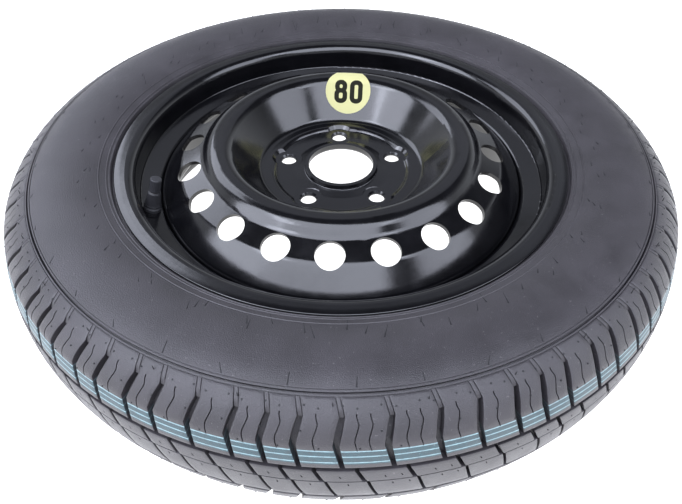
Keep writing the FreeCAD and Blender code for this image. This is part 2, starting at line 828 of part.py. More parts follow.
def make_core_barrel():
    """Turn the valve core's barrel: threaded plug, spring tube and pierced floor."""
    plug = "core_thread_radius - core_fit"
    air = "pin_radius + barrel_air_gap"
    body = valve_piece("core_barrel", [
        Corner(air, "barrel_end"),
        Corner("barrel_tube_radius", "barrel_end"),
        Corner("barrel_tube_radius", "core_thread_end + core_fit"),
        Corner(plug, "core_thread_end + core_fit"),
        Corner(plug, "stem_end - core_recess"),
        Corner(air, "stem_end - core_recess"),
        Corner(air, "core_thread_end + core_fit + barrel_floor"),
        Corner("barrel_tube_bore", "core_thread_end + core_fit + barrel_floor"),
        Corner("barrel_tube_bore", "barrel_end + barrel_floor"),
        Corner(air, "barrel_end + barrel_floor"),
    ])
    for side, name in (("1", "bridge_right"), ("-1", "bridge_left")):
        notch = body.newObject("PartDesign::SubtractiveBox", name)
        notch.setExpression("Length", bound("core_thread_radius"))
        notch.setExpression("Width", bound("2 * core_thread_radius"))
        notch.setExpression("Height", bound("core_notch_depth"))
        start = "core_notch_start" if side == "1" else "-1 * core_notch_start - core_thread_radius"
        place(notch, body, start, "-1 * core_thread_radius", "stem_end - core_recess - core_notch_depth")
        body.Tip = notch
        doc.recompute()
    return seat_on_rim(body)


def make_core_barrel_seal():
    """Turn the ring that seals the barrel against the stem's cone."""
    inner = "barrel_tube_radius + pin_fit"
    return seat_on_rim(valve_piece("core_barrel_seal", [
        Corner(inner, "core_seat_end + core_fit"),
        Corner("core_seat_radius - pin_fit", "core_seat_end + core_fit"),
        Corner("core_thread_radius - core_fit", "core_thread_end"),
        Corner(inner, "core_thread_end"),
    ]))


def make_core_pin():
    """Turn the pin, with the collar that the spring lifts."""
    return seat_on_rim(valve_piece("core_pin", [
        Corner("0", "pin_end"),
        Corner("pin_radius", "pin_end"),
        Corner("pin_radius", "pin_collar_start"),
        Corner("pin_collar_radius", "pin_collar_start"),
        Corner("pin_collar_radius", "pin_collar_start + pin_collar_length"),
        Corner("pin_radius", "pin_collar_start + pin_collar_length"),
        Corner("pin_radius", "stem_end - core_recess"),
        Corner("0", "stem_end - core_recess"),
    ]))


# Height of the cup's floor, below the washer that it holds against the barrel's end.
CUP_FLOOR = "( barrel_end - pin_fit - cup_seal_thickness )"


def make_core_cup():
    """Press the cup that closes the barrel's end."""
    return seat_on_rim(valve_piece("core_cup", [
        Corner("pin_radius + pin_fit", f"{CUP_FLOOR} - cup_wall"),
        Corner("cup_radius", f"{CUP_FLOOR} - cup_wall"),
        Corner("cup_radius", f"{CUP_FLOOR} + cup_seal_thickness / 2"),
        Corner("cup_radius - cup_wall", f"{CUP_FLOOR} + cup_seal_thickness / 2"),
        Corner("cup_radius - cup_wall", CUP_FLOOR),
        Corner("pin_radius + pin_fit", CUP_FLOOR),
    ]))


def make_core_cup_seal():
    """Punch the rubber washer in the cup."""
    return seat_on_rim(valve_piece("core_cup_seal", [
        Corner("pin_radius + pin_fit", CUP_FLOOR),
        Corner("cup_radius - cup_wall - pin_fit", CUP_FLOOR),
        Corner("cup_radius - cup_wall - pin_fit", f"{CUP_FLOOR} + cup_seal_thickness"),
        Corner("pin_radius + pin_fit", f"{CUP_FLOOR} + cup_seal_thickness"),
    ]))


def make_core_spring():
    """Coil the spring between the barrel's floor and the pin's collar."""
    body = new_body("core_spring")
    drawing = Drawing(new_sketch(body, "spring_section"))
    start = "barrel_end + barrel_floor + spring_wire / 2 + pin_fit"
    centre = Vector(measure("spring_radius"), measure(start), 0)
    circle = drawing.add(Part.Circle(centre, Vector(0, 0, 1), measure("spring_wire / 2")))
    drawing.rule("Radius", circle, formula="spring_wire / 2")
    drawing.fix(circle, 3, "spring_radius", start)
    sketch = drawing.close()
    coil = body.newObject("PartDesign::AdditiveHelix", "spring_coil")
    coil.Profile = sketch
    coil.ReferenceAxis = (sketch, ["V_Axis"])
    coil.Mode = "height-turns-angle"
    length = "pin_collar_start - barrel_end - barrel_floor - spring_wire - 2 * pin_fit"
    coil.setExpression("Height", bound(length))
    coil.setExpression("Turns", bound("spring_turns"))
    body.Tip = coil
    doc.recompute()
    return seat_on_rim(body)


# Height of the cap's roof, on the washer that lies on the stem's end.
CAP_ROOF = "( stem_end + core_fit + cap_seal_thickness )"


def make_valve_cap():
    """Mould the dust cap, with its round roof and fluted grip."""
    bore = "stem_radius + cap_fit"
    top = f"{CAP_ROOF} + cap_roof"
    foot = f"{top} - cap_length"
    body = valve_piece("valve_cap", [
        Corner(bore, foot),
        Corner("cap_radius", foot),
        Corner("cap_radius", top, bend="cap_round"),
        Corner("0", top),
        Corner("0", CAP_ROOF),
        Corner(bore, CAP_ROOF),
    ])
    flute = body.newObject("PartDesign::SubtractiveCylinder", "cap_flute")
    flute.setExpression("Radius", bound("cap_flute_radius"))
    flute.setExpression("Height", bound("cap_length - 2 * cap_flute_end"))
    place(flute, body, "cap_radius + cap_flute_radius - cap_flute_depth", "0", f"{foot} + cap_flute_end")
    body.Tip = flute
    doc.recompute()
    ring_of(body, "cap_flutes", [flute], "cap_flute_count")
    return seat_on_rim(body)


def make_cap_seal():
    """Punch the rubber washer in the cap."""
    edge = "stem_radius - stem_chamfer"
    return seat_on_rim(valve_piece("cap_seal", [
        Corner("0", f"{CAP_ROOF} - cap_seal_thickness"),
        Corner(edge, f"{CAP_ROOF} - cap_seal_thickness"),
        Corner(edge, CAP_ROOF),
        Corner("0", CAP_ROOF),
    ]))


def check_all(pieces):
    """Stop where an object has failed or a piece is no sound solid."""
    for item in doc.Objects:
        if "Invalid" in item.State or "Error" in item.State:
            raise RuntimeError(f"{item.Label} failed: {item.State}")
    for piece in pieces:
        if piece.Shape.isNull() or not piece.Shape.isValid() or piece.Shape.Volume <= 0:
            raise RuntimeError(f"{piece.Label} is no sound solid")


def main():
    """Build every piece, check it and write it."""
    fill_sheet()
    pieces = [
        make_tyre(),
        make_rim(),
        make_wheel_disc(),
        make_disc_welds(),
        make_speed_label(),
        make_valve_body(),
        make_valve_stem(),
        make_core_barrel(),
        make_core_barrel_seal(),
        make_core_pin(),
        make_core_cup(),
        make_core_cup_seal(),
        make_core_spring(),
        make_valve_cap(),
        make_cap_seal(),
    ]
    check_all(pieces)
    os.makedirs("parts", exist_ok=True)
    for piece in pieces:
        piece.Shape.exportStep(f"parts/{piece.Label}.step")
        print(f"{piece.Label}: {piece.Shape.Volume:.1f} mm3, {len(piece.Shape.Solids)} solids")


main()
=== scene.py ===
"""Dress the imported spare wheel: its tread, painted steel, label, valve and studio."""
import json
import logging
import math
from collections.abc import Iterable, Sequence
from dataclasses import asdict, dataclass, replace
from enum import Enum, IntEnum

import bmesh
import bpy
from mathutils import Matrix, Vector


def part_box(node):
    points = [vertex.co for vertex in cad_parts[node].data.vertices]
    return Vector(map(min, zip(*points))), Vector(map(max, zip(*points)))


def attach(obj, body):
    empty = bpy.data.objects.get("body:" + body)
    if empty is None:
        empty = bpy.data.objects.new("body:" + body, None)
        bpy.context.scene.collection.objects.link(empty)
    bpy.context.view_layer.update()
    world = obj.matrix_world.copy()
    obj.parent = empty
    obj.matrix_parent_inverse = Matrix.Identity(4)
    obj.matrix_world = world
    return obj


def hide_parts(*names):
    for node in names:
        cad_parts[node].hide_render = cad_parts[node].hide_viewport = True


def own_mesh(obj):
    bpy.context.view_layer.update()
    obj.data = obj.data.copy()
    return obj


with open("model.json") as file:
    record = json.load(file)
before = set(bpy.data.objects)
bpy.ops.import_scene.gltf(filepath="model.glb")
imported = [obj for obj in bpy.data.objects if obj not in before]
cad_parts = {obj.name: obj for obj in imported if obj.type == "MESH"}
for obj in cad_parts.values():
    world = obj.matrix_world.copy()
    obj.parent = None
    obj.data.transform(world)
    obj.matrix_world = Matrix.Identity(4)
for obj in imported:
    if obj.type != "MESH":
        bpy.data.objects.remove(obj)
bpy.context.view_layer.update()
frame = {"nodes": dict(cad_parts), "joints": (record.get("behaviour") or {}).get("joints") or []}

log = logging.getLogger("spare_wheel")

MM = 0.001
# The body that every new piece rides on.
WHEEL = "wheel"
# Attributes that the tread's faces and the trees' points carry.
TREAD_FACE = "tread_face"
PITCH_TURN = "pitch_turn"
PITCH_KIND = "pitch_kind"
LEAN = "lean"

Point = tuple[float, float]
Colour = tuple[float, float, float, float]


class Slot(str, Enum):
    """The record's material slots."""

    TYRE = "tyre_rubber"
    PAINT = "wheel_paint"
    LABEL = "label_paper"
    VALVE = "valve_rubber"
    BRASS = "valve_brass"
    SEAL = "seal_rubber"
    SPRING = "spring_steel"
    CAP = "cap_plastic"


class Pitch(IntEnum):
    """The three lengths of tread pitch that alternate round the tyre."""

    SHORT = 0
    MIDDLE = 1
    LONG = 2

    @property
    def weight(self) -> float:
        """Length of this pitch beside the others."""
        return (4.0, 5.1, 6.1)[self]

    @property
    def sipes(self) -> tuple[float, ...]:
        """Places of the shoulder block's sipes, as shares of the pitch."""
        return ((0.42,), (0.42,), (0.31, 0.63))[self]

    @property
    def ticks(self) -> tuple[float, ...]:
        """Places of the middle block's short marks, as shares of the pitch."""
        return ((0.5,), (0.5,), (0.46, 0.82))[self]


# Order of the pitches: a run of twelve, six times over, and three that close the ring.
PITCH_RUN = "SSMLLMMSSMSM"
PITCH_CLOSE = "SMM"
PITCH_LETTERS = {"S": Pitch.SHORT, "M": Pitch.MIDDLE, "L": Pitch.LONG}
RUN_REPEATS = 6


def put(tree: bpy.types.NodeTree, kind: str, inputs: dict | None = None, **settings) -> bpy.types.Node:
    """Add a node to a tree, with its settings, values and links.

    Args:
        tree: The tree that gets the node.
        kind: Blender's name for the node's type.
        inputs: Values or output sockets, by the input's name or number.
        settings: The node's own properties.

    Returns:
        The new node.
    """
    node = tree.nodes.new(kind)
    for name, value in settings.items():
        setattr(node, name, value)
    for key, value in (inputs or {}).items():
        if isinstance(value, bpy.types.NodeSocket):
            tree.links.new(value, node.inputs[key])
        else:
            node.inputs[key].default_value = value
    return node


def math_node(tree: bpy.types.NodeTree, operation: str, *values: object) -> bpy.types.NodeSocket:
    """Add a Math node.

    Args:
        tree: The tree that gets the node.
        operation: The node's operation.
        values: Numbers or output sockets.

    Returns:
        The node's result.
    """
    return put(tree, "ShaderNodeMath", dict(enumerate(values)), operation=operation).outputs[0]


def surface_place(tree: bpy.types.NodeTree) -> bpy.types.NodeSocket:
    """Give the surface's Object coordinates."""
    return put(tree, "ShaderNodeTexCoord").outputs["Object"]


def new_group(name: str, kind: str, inputs: Sequence[tuple], outputs: Sequence[tuple]) -> tuple:
    """Start a node group with named sockets.

    Args:
        name: The group's name.
        kind: Type of node tree.
        inputs: Name and socket type of each input, with a value for plain numbers.
        outputs: Name and socket type of each output.

    Returns:
        The tree, its input node and its output node.
    """
    tree = bpy.data.node_groups.new(name, kind)
    for title, socket, *value in inputs:
        made = tree.interface.new_socket(title, in_out="INPUT", socket_type=socket)
        if value:
            made.default_value = value[0]
    for title, socket in outputs:
        tree.interface.new_socket(title, in_out="OUTPUT", socket_type=socket)
    return tree, tree.nodes.new("NodeGroupInput"), tree.nodes.new("NodeGroupOutput")


class Effects:
    """The surface effects that several finishes share, each a shader node group."""

    # How far the cells of the grain rise beside its fine noise.
    cell_share: float = 0.4

    def __init__(self) -> None:
        """Build every group once."""
        self.mottle = self._mottle()
        self.grain = self._grain()
        self.specks = self._specks()
        self.rings = self._rings()

    @staticmethod
    def _mottle() -> bpy.types.NodeTree:
        """Cloudy change between two values.

        Returns:
            The group.
        """
        tree, given, out = new_group(
            "mottle", "ShaderNodeTree",
            [("Scale", "NodeSocketFloat", 20.0), ("Low", "NodeSocketFloat", 0.0),
             ("High", "NodeSocketFloat", 1.0)],
            [("Value", "NodeSocketFloat")])
        noise = put(tree, "ShaderNodeTexNoise", {
            "Vector": surface_place(tree), "Scale": given.outputs["Scale"],
            "Detail": 5.0, "Roughness": 0.6})
        spread = put(tree, "ShaderNodeMapRange", {
            "Value": noise.outputs[0], "From Min": 0.3, "From Max": 0.7,
            "To Min": given.outputs["Low"], "To Max": given.outputs["High"]})
        tree.links.new(spread.outputs[0], out.inputs["Value"])
        return tree

    @staticmethod
    def _grain() -> bpy.types.NodeTree:
        """Fine even roughness, as a height.

        Returns:
            The group.
        """
        tree, given, out = new_group(
            "grain", "ShaderNodeTree", [("Scale", "NodeSocketFloat", 900.0)],
            [("Height", "NodeSocketFloat")])
        where = surface_place(tree)
        fine = put(tree, "ShaderNodeTexNoise", {
            "Vector": where, "Scale": given.outputs["Scale"], "Detail": 3.0, "Roughness": 0.65})
        cells = put(tree, "ShaderNodeTexVoronoi", {"Vector": where, "Scale": given.outputs["Scale"]})
        both = math_node(tree, "MULTIPLY_ADD", cells.outputs["Distance"], Effects.cell_share,
                         fine.outputs[0])
        tree.links.new(both, out.inputs["Height"])
        return tree

    @staticmethod
    def _specks() -> bpy.types.NodeTree:
        """Scattered specks of dust or bloom, as a mask.

        Returns:
            The group.
        """
        tree, given, out = new_group(
            "specks", "ShaderNodeTree",
            [("Scale", "NodeSocketFloat", 400.0), ("Threshold", "NodeSocketFloat", 0.68),
             ("Softness", "NodeSocketFloat", 0.08)],
            [("Mask", "NodeSocketFloat")])
        noise = put(tree, "ShaderNodeTexNoise", {
            "Vector": surface_place(tree), "Scale": given.outputs["Scale"],
            "Detail": 2.0, "Roughness": 0.5})
        top = math_node(tree, "ADD", given.outputs["Threshold"], given.outputs["Softness"])
        cut = put(tree, "ShaderNodeMapRange", {
            "Value": noise.outputs[0], "From Min": given.outputs["Threshold"], "From Max": top},
            interpolation_type="SMOOTHSTEP")
        tree.links.new(cut.outputs[0], out.inputs["Mask"])
        return tree

    @staticmethod
    def _rings() -> bpy.types.NodeTree:
        """Fine turned lines round the wheel's axle, as a height.

        Returns:
            The group.
        """
        tree, given, out = new_group(
            "turned_lines", "ShaderNodeTree", [("Pitch", "NodeSocketFloat", 0.0012)],
            [("Height", "NodeSocketFloat")])
        parts = put(tree, "ShaderNodeSeparateXYZ", {0: surface_place(tree)})
        flat = put(tree, "ShaderNodeCombineXYZ", {0: parts.outputs[0], 1: parts.outputs[1]})
        radius = put(tree, "ShaderNodeVectorMath", {0: flat.outputs[0]}, operation="LENGTH")
        turns = math_node(tree, "DIVIDE", radius.outputs["Value"], given.outputs["Pitch"])
        lines = put(tree, "ShaderNodeTexNoise", {"W": turns, "Scale": 1.0, "Detail": 2.0},
                    noise_dimensions="1D")
        tree.links.new(lines.outputs[0], out.inputs["Height"])
        return tree


def use_group(tree: bpy.types.NodeTree, group: bpy.types.NodeTree, **values: object) -> bpy.types.NodeSocket:
    """Place a shared effect in a material.

    Args:
        tree: The material's tree.
        group: The effect's node group.
        values: The effect's inputs by name.

    Returns:
        The effect's one output.
    """
    node = put(tree, "ShaderNodeGroup", node_tree=group)
    for name, value in values.items():
        node.inputs[name].default_value = value
    return node.outputs[0]


@dataclass(frozen=True)
class Finish:
    """A surface finish: its colour, how far that drifts, its gloss and its grain."""

    name: str
    colour: Colour
    drift: float = 0.15
    drift_scale: float = 25.0
    roughness: tuple[float, float] = (0.4, 0.55)
    specular: float = 0.5
    metallic: float = 0.0
    grain_scale: float = 900.0
    grain_depth: float = 0.05 * MM
    ring_pitch: float = 0.0
    ring_depth: float = 0.0
    dust: float = 0.0
    dust_colour: Colour = (0.45, 0.44, 0.42, 1.0)
    dust_scale: float = 380.0
    dust_threshold: float = 0.68
    gloss_fineness: float = 2.0

    def material(self, effects: Effects) -> bpy.types.Material:
        """Build the finish.

        Args:
            effects: The shared node groups.

        Returns:
            The material.
        """
        made = bpy.data.materials.new(self.name)
        made.use_nodes = True
        tree = made.node_tree
        shader = tree.nodes["Principled BSDF"]
        shader.inputs["Metallic"].default_value = self.metallic
        shader.inputs["Specular IOR Level"].default_value = self.specular
        colour = self.base_colour(tree, effects)
        if self.dust:
            mask = use_group(tree, effects.specks, Scale=self.dust_scale, Threshold=self.dust_threshold)
            share = math_node(tree, "MULTIPLY", mask, self.dust)
            colour = self.mix(tree, share, colour, self.dust_colour)
        tree.links.new(colour, shader.inputs["Base Color"])
        gloss = use_group(tree, effects.mottle, Scale=self.drift_scale * self.gloss_fineness,
                          Low=self.roughness[0], High=self.roughness[1])
        tree.links.new(gloss, shader.inputs["Roughness"])
        tree.links.new(self.relief(tree, effects), shader.inputs["Normal"])
        return made

    @staticmethod
    def mix(tree: bpy.types.NodeTree, share: object, one: object, other: object) -> bpy.types.NodeSocket:
        """Mix two colours by a mask.

        Args:
            tree: The material's tree.
            share: Share of the second colour.
            one: First colour or socket.
            other: Second colour or socket.

        Returns:
            The mixed colour.
        """
        node = put(tree, "ShaderNodeMix", {0: share, 6: one, 7: other}, data_type="RGBA")
        return node.outputs[2]

    def base_colour(self, tree: bpy.types.NodeTree, effects: Effects) -> bpy.types.NodeSocket:
        """Give the drifting base colour.

        Args:
            tree: The material's tree.
            effects: The shared node groups.

        Returns:
            The colour's socket.
        """
        light = tuple(min(1.0, c * (1 + self.drift)) for c in self.colour[:3]) + (1.0,)
        dark = tuple(c * (1 - self.drift) for c in self.colour[:3]) + (1.0,)
        cloud = use_group(tree, effects.mottle, Scale=self.drift_scale, Low=0.0, High=1.0)
        return self.mix(tree, cloud, dark, light)

    def relief(self, tree: bpy.types.NodeTree, effects: Effects) -> bpy.types.NodeSocket:
        """Give the normal that grain and turned lines bend.

        Args:
            tree: The material's tree.
            effects: The shared node groups.

        Returns:
            The normal's socket.
        """
        height = use_group(tree, effects.grain, Scale=self.grain_scale)
        bump = put(tree, "ShaderNodeBump", {"Height": height, "Distance": self.grain_depth})
        if not self.ring_pitch:
            return bump.outputs[0]
        lines = use_group(tree, effects.rings, Pitch=self.ring_pitch)
        turned = put(tree, "ShaderNodeBump", {
            "Height": lines, "Distance": self.ring_depth, "Normal": bump.outputs[0]})
        return turned.outputs[0]


@dataclass(frozen=True)
class StripedRubber(Finish):
    """Tyre rubber with the painted stripes that mark a new tread."""

    line_heights: tuple[float, ...] = (37.9 * MM, 33.4 * MM, 28.2 * MM)
    line_width: float = 0.9 * MM
    line_colour: Colour = (0.29, 0.46, 0.50, 1.0)
    band_colour: Colour = (0.018, 0.066, 0.082, 1.0)
    band_foot: float = 26.5 * MM
    wear_scale: float = 260.0
    least_left: float = 0.5

    def base_colour(self, tree: bpy.types.NodeTree, effects: Effects) -> bpy.types.NodeSocket:
        """Paint the stripes over the rubber, on the tread's own face alone.

        Args:
            tree: The material's tree.
            effects: The shared node groups.

        Returns:
            The colour's socket.
        """
        rubber = super().base_colour(tree, effects)
        height = put(tree, "ShaderNodeSeparateXYZ", {0: surface_place(tree)}).outputs[2]
        face = put(tree, "ShaderNodeAttribute", attribute_name=TREAD_FACE).outputs["Fac"]
        worn = use_group(tree, effects.mottle, Scale=self.wear_scale, Low=self.least_left, High=1.0)
        paint = math_node(tree, "MULTIPLY", face, worn)
        middle = (self.line_heights[0] + self.band_foot) / 2
        half = (self.line_heights[0] - self.band_foot) / 2
        band = math_node(tree, "COMPARE", height, middle, half)
        colour = self.mix(tree, math_node(tree, "MULTIPLY", band, paint), rubber, self.band_colour)
        lines = 0.0
        for level in self.line_heights:
            line = math_node(tree, "COMPARE", height, level, self.line_width / 2)
            lines = math_node(tree, "ADD", line, lines)
        return self.mix(tree, math_node(tree, "MULTIPLY", lines, paint), colour, self.line_colour)


@dataclass(frozen=True)
class NumberedPaper(Finish):
    """Label paper with two plain figures printed on it."""

    ink: Colour = (0.012, 0.012, 0.006, 1.0)
    centre: Vector = Vector()
    right: Vector = Vector((1, 0, 0))
    up: Vector = Vector((0, 1, 0))
    # Each bowl of a figure: its place right and up, half its width and height at mid stroke.
    bowls: tuple[tuple[float, ...], ...] = (
        (-8.1 * MM, 4.75 * MM, 4.2 * MM, 4.55 * MM),
        (-8.1 * MM, -5.45 * MM, 4.6 * MM, 5.65 * MM),
        (9.1 * MM, -0.9 * MM, 4.6 * MM, 10.2 * MM),
    )
    bowl_round: float = 4.0 * MM
    stroke: float = 5.2 * MM

    def base_colour(self, tree: bpy.types.NodeTree, effects: Effects) -> bpy.types.NodeSocket:
        """Print the figures over the paper.

        Args:
            tree: The material's tree.
            effects: The shared node groups.

        Returns:
            The colour's socket.
        """
        paper = super().base_colour(tree, effects)
        place = put(tree, "ShaderNodeVectorMath", {0: surface_place(tree), 1: self.centre},
                    operation="SUBTRACT").outputs[0]
        across = put(tree, "ShaderNodeVectorMath", {0: place, 1: self.right}, operation="DOT_PRODUCT")
        along = put(tree, "ShaderNodeVectorMath", {0: place, 1: self.up}, operation="DOT_PRODUCT")
        ink = 0.0
        for right, up, half_width, half_height in self.bowls:
            x = self._beyond(tree, across.outputs["Value"], right, half_width - self.bowl_round)
            y = self._beyond(tree, along.outputs["Value"], up, half_height - self.bowl_round)
            far = math_node(tree, "SQRT", math_node(tree, "MULTIPLY_ADD", x, x, math_node(
                tree, "MULTIPLY", y, y)))
            bowl = math_node(tree, "COMPARE", far, self.bowl_round, self.stroke / 2)
            ink = math_node(tree, "MAXIMUM", bowl, ink)
        return self.mix(tree, ink, paper, self.ink)

    @staticmethod
    def _beyond(tree: bpy.types.NodeTree, value: object, centre: float, half: float) -> bpy.types.NodeSocket:
        """Give how far a place lies outside a span.

        Args:
            tree: The material's tree.
            value: The place.
            centre: The span's middle.
            half: Half the span.

        Returns:
            The distance, 0 inside the span.
        """
        off = math_node(tree, "ABSOLUTE", math_node(tree, "SUBTRACT", value, centre))
        return math_node(tree, "MAXIMUM", math_node(tree, "SUBTRACT", off, half), 0.0)


def link_object(name: str, data: bpy.types.ID) -> bpy.types.Object:
    """Put a new object in the scene.

    Args:
        name: The object's name.
        data: Its mesh, light or camera.

    Returns:
        The object.
    """
    made = bpy.data.objects.new(name, data)
    bpy.context.scene.collection.objects.link(made)
    return made


def new_points(name: str, places: Sequence[Sequence[float]]) -> bpy.types.Object:
    """Put loose points in the scene, for a tree to build on.

    Args:
        name: The piece's name.
        places: The points.

    Returns:
        The object.
    """
    mesh = bpy.data.meshes.new(name)
    mesh.from_pydata(places, [], [])
    return link_object(name, mesh)


def new_piece(name: str, bm: bmesh.types.BMesh, sharp_angle: float = 35.0) -> bpy.types.Object:
    """Make an object of a built mesh, with its normals out and its edges crisp.

    Args:
        name: The piece's name.
        bm: The built mesh, freed here.
        sharp_angle: Edges that turn more than this many degrees stay sharp.

    Returns:
        The object, in the scene.
    """
    bmesh.ops.recalc_face_normals(bm, faces=bm.faces)
    mesh = bpy.data.meshes.new(name)
    bm.to_mesh(mesh)
    bm.free()
    mesh.polygons.foreach_set("use_smooth", [True] * len(mesh.polygons))
    mesh.set_sharp_from_angle(angle=math.radians(sharp_angle))
    return link_object(name, mesh)


def bake(piece: bpy.types.Object) -> None:
    """Turn a piece's modifiers into a plain mesh.

    Args:
        piece: The object, whose modifiers are removed.
    """
    graph = bpy.context.evaluated_depsgraph_get()
    mesh = bpy.data.meshes.new_from_object(piece.evaluated_get(graph))
    piece.modifiers.clear()
    piece.data = mesh
    mesh.name = piece.name


def paint(piece: bpy.types.Object, material: bpy.types.Material) -> None:
    """Give a piece one material.

    Args:
        piece: The object.
        material: Its only material.
    """
    piece.data.materials.clear()
    piece.data.materials.append(material)


def revolve(bm: bmesh.types.BMesh, outline: Sequence[Point], steps: int) -> None:
    """Turn a closed outline round the wheel's axle.

    Args:
        bm: The mesh that gets the faces.
        outline: Radius and height of each corner, in order.
        steps: Faces round the axle.
    """
    rings = []
    for step in range(steps):
        angle = 2 * math.pi * step / steps
        cosine, sine = math.cos(angle), math.sin(angle)
        rings.append([bm.verts.new((r * cosine, r * sine, z)) for r, z in outline])
    for here, ring in enumerate(rings):
        following = rings[(here + 1) % steps]
        for i in range(len(outline)):
            j = (i + 1) % len(outline)
            bm.faces.new((ring[i], following[i], following[j], ring[j]))


def arc_between(start: Point, end: Point, radius: float, steps: int) -> list[Point]:
    """Give points along an arc that bulges to the left of the way from start to end.

    Args:
        start: First point, left out of the result.
        end: Last point.
        radius: The arc's radius.
        steps: Points to give.

    Returns:
        The points after the first.
    """
    chord = Vector((end[0] - start[0], end[1] - start[1]))
    side = Vector((-chord.y, chord.x)).normalized()
    reach = math.sqrt(radius ** 2 - (chord.length / 2) ** 2)
    centre = Vector(start) + chord / 2 - side * reach
    first = Vector(start) - centre
    turn = -2 * math.asin(chord.length / 2 / radius)
    points = []
    for step in range(1, steps + 1):
        angle = turn * step / steps
        cosine, sine = math.cos(angle), math.sin(angle)
        points.append((centre.x + first.x * cosine - first.y * sine,
                       centre.y + first.x * sine + first.y * cosine))
    return points


@dataclass(frozen=True)
class Station:
    """One place on the tyre's outer face, in its section."""

    radius: float
    height: float
    out_radius: float
    out_height: float

    def sunk(self, depth: float) -> Point:
        """Give the radius and height at a depth below the face."""
        return self.radius - depth * self.out_radius, self.height - depth * self.out_height

    def flipped(self) -> "Station":
        """Give the same place on the wheel's inner side."""
        return Station(self.radius, -self.height, self.out_radius, -self.out_height)


@dataclass(frozen=True)
class TyreSection:
    """The arcs of the tyre's section."""

    tyre_radius: float
    half_width: float
    widest_radius: float = 272 * MM
    shoulder_arc: float = 54 * MM
    lower_arc: float = 110 * MM
    crown_arc: float = 118 * MM
    lip_radius: float = 219.8 * MM
    lip_height: float = 53.3 * MM

    def sidewall(self, radius: float) -> Station:
        """Give a place on the sidewall or shoulder.

        Args:
            radius: The place's radius.

        Returns:
            The place.
        """
        if radius >= self.widest_radius:
            centre = Vector((self.widest_radius, self.half_width - self.shoulder_arc))
            arc = self.shoulder_arc
        else:
            lip = Vector((self.lip_radius, self.lip_height))
            chord = Vector((self.widest_radius, self.half_width)) - lip
            reach = math.sqrt(self.lower_arc ** 2 - (chord.length / 2) ** 2)
            centre = lip + chord / 2 + Vector((chord.y, -chord.x)).normalized() * reach
            arc = self.lower_arc
        out_radius = (radius - centre.x) / arc
        out_height = math.sqrt(1 - out_radius ** 2)
        height = min(self.half_width, centre.y + arc * out_height)
        return Station(radius, height, out_radius, out_height)

    def tread(self, height: float) -> Station:
        """Give a place on the tread.

        Args:
            height: The place's height.

        Returns:
            The place.
        """
        out_height = height / self.crown_arc
        out_radius = math.sqrt(1 - out_height ** 2)
        radius = self.tyre_radius - self.crown_arc + self.crown_arc * out_radius
        return Station(radius, height, out_radius, out_height)


@dataclass(frozen=True)
class Row:
    """One line across a tread block: where it runs and how the block ends there."""

    station: Station
    shift: float
    gap: float
    floor: float
    dip: float = 0.0
    sipe: float = 0.0
    sipe_shift: float = 0.0


@dataclass(frozen=True)
class Column:
    """One line along a tread block, placed by a share of the pitch and a set-in."""

    share: float
    inset: float
    dip: float = 0.0
    in_sipe: bool = False
    by_sipe: bool = False


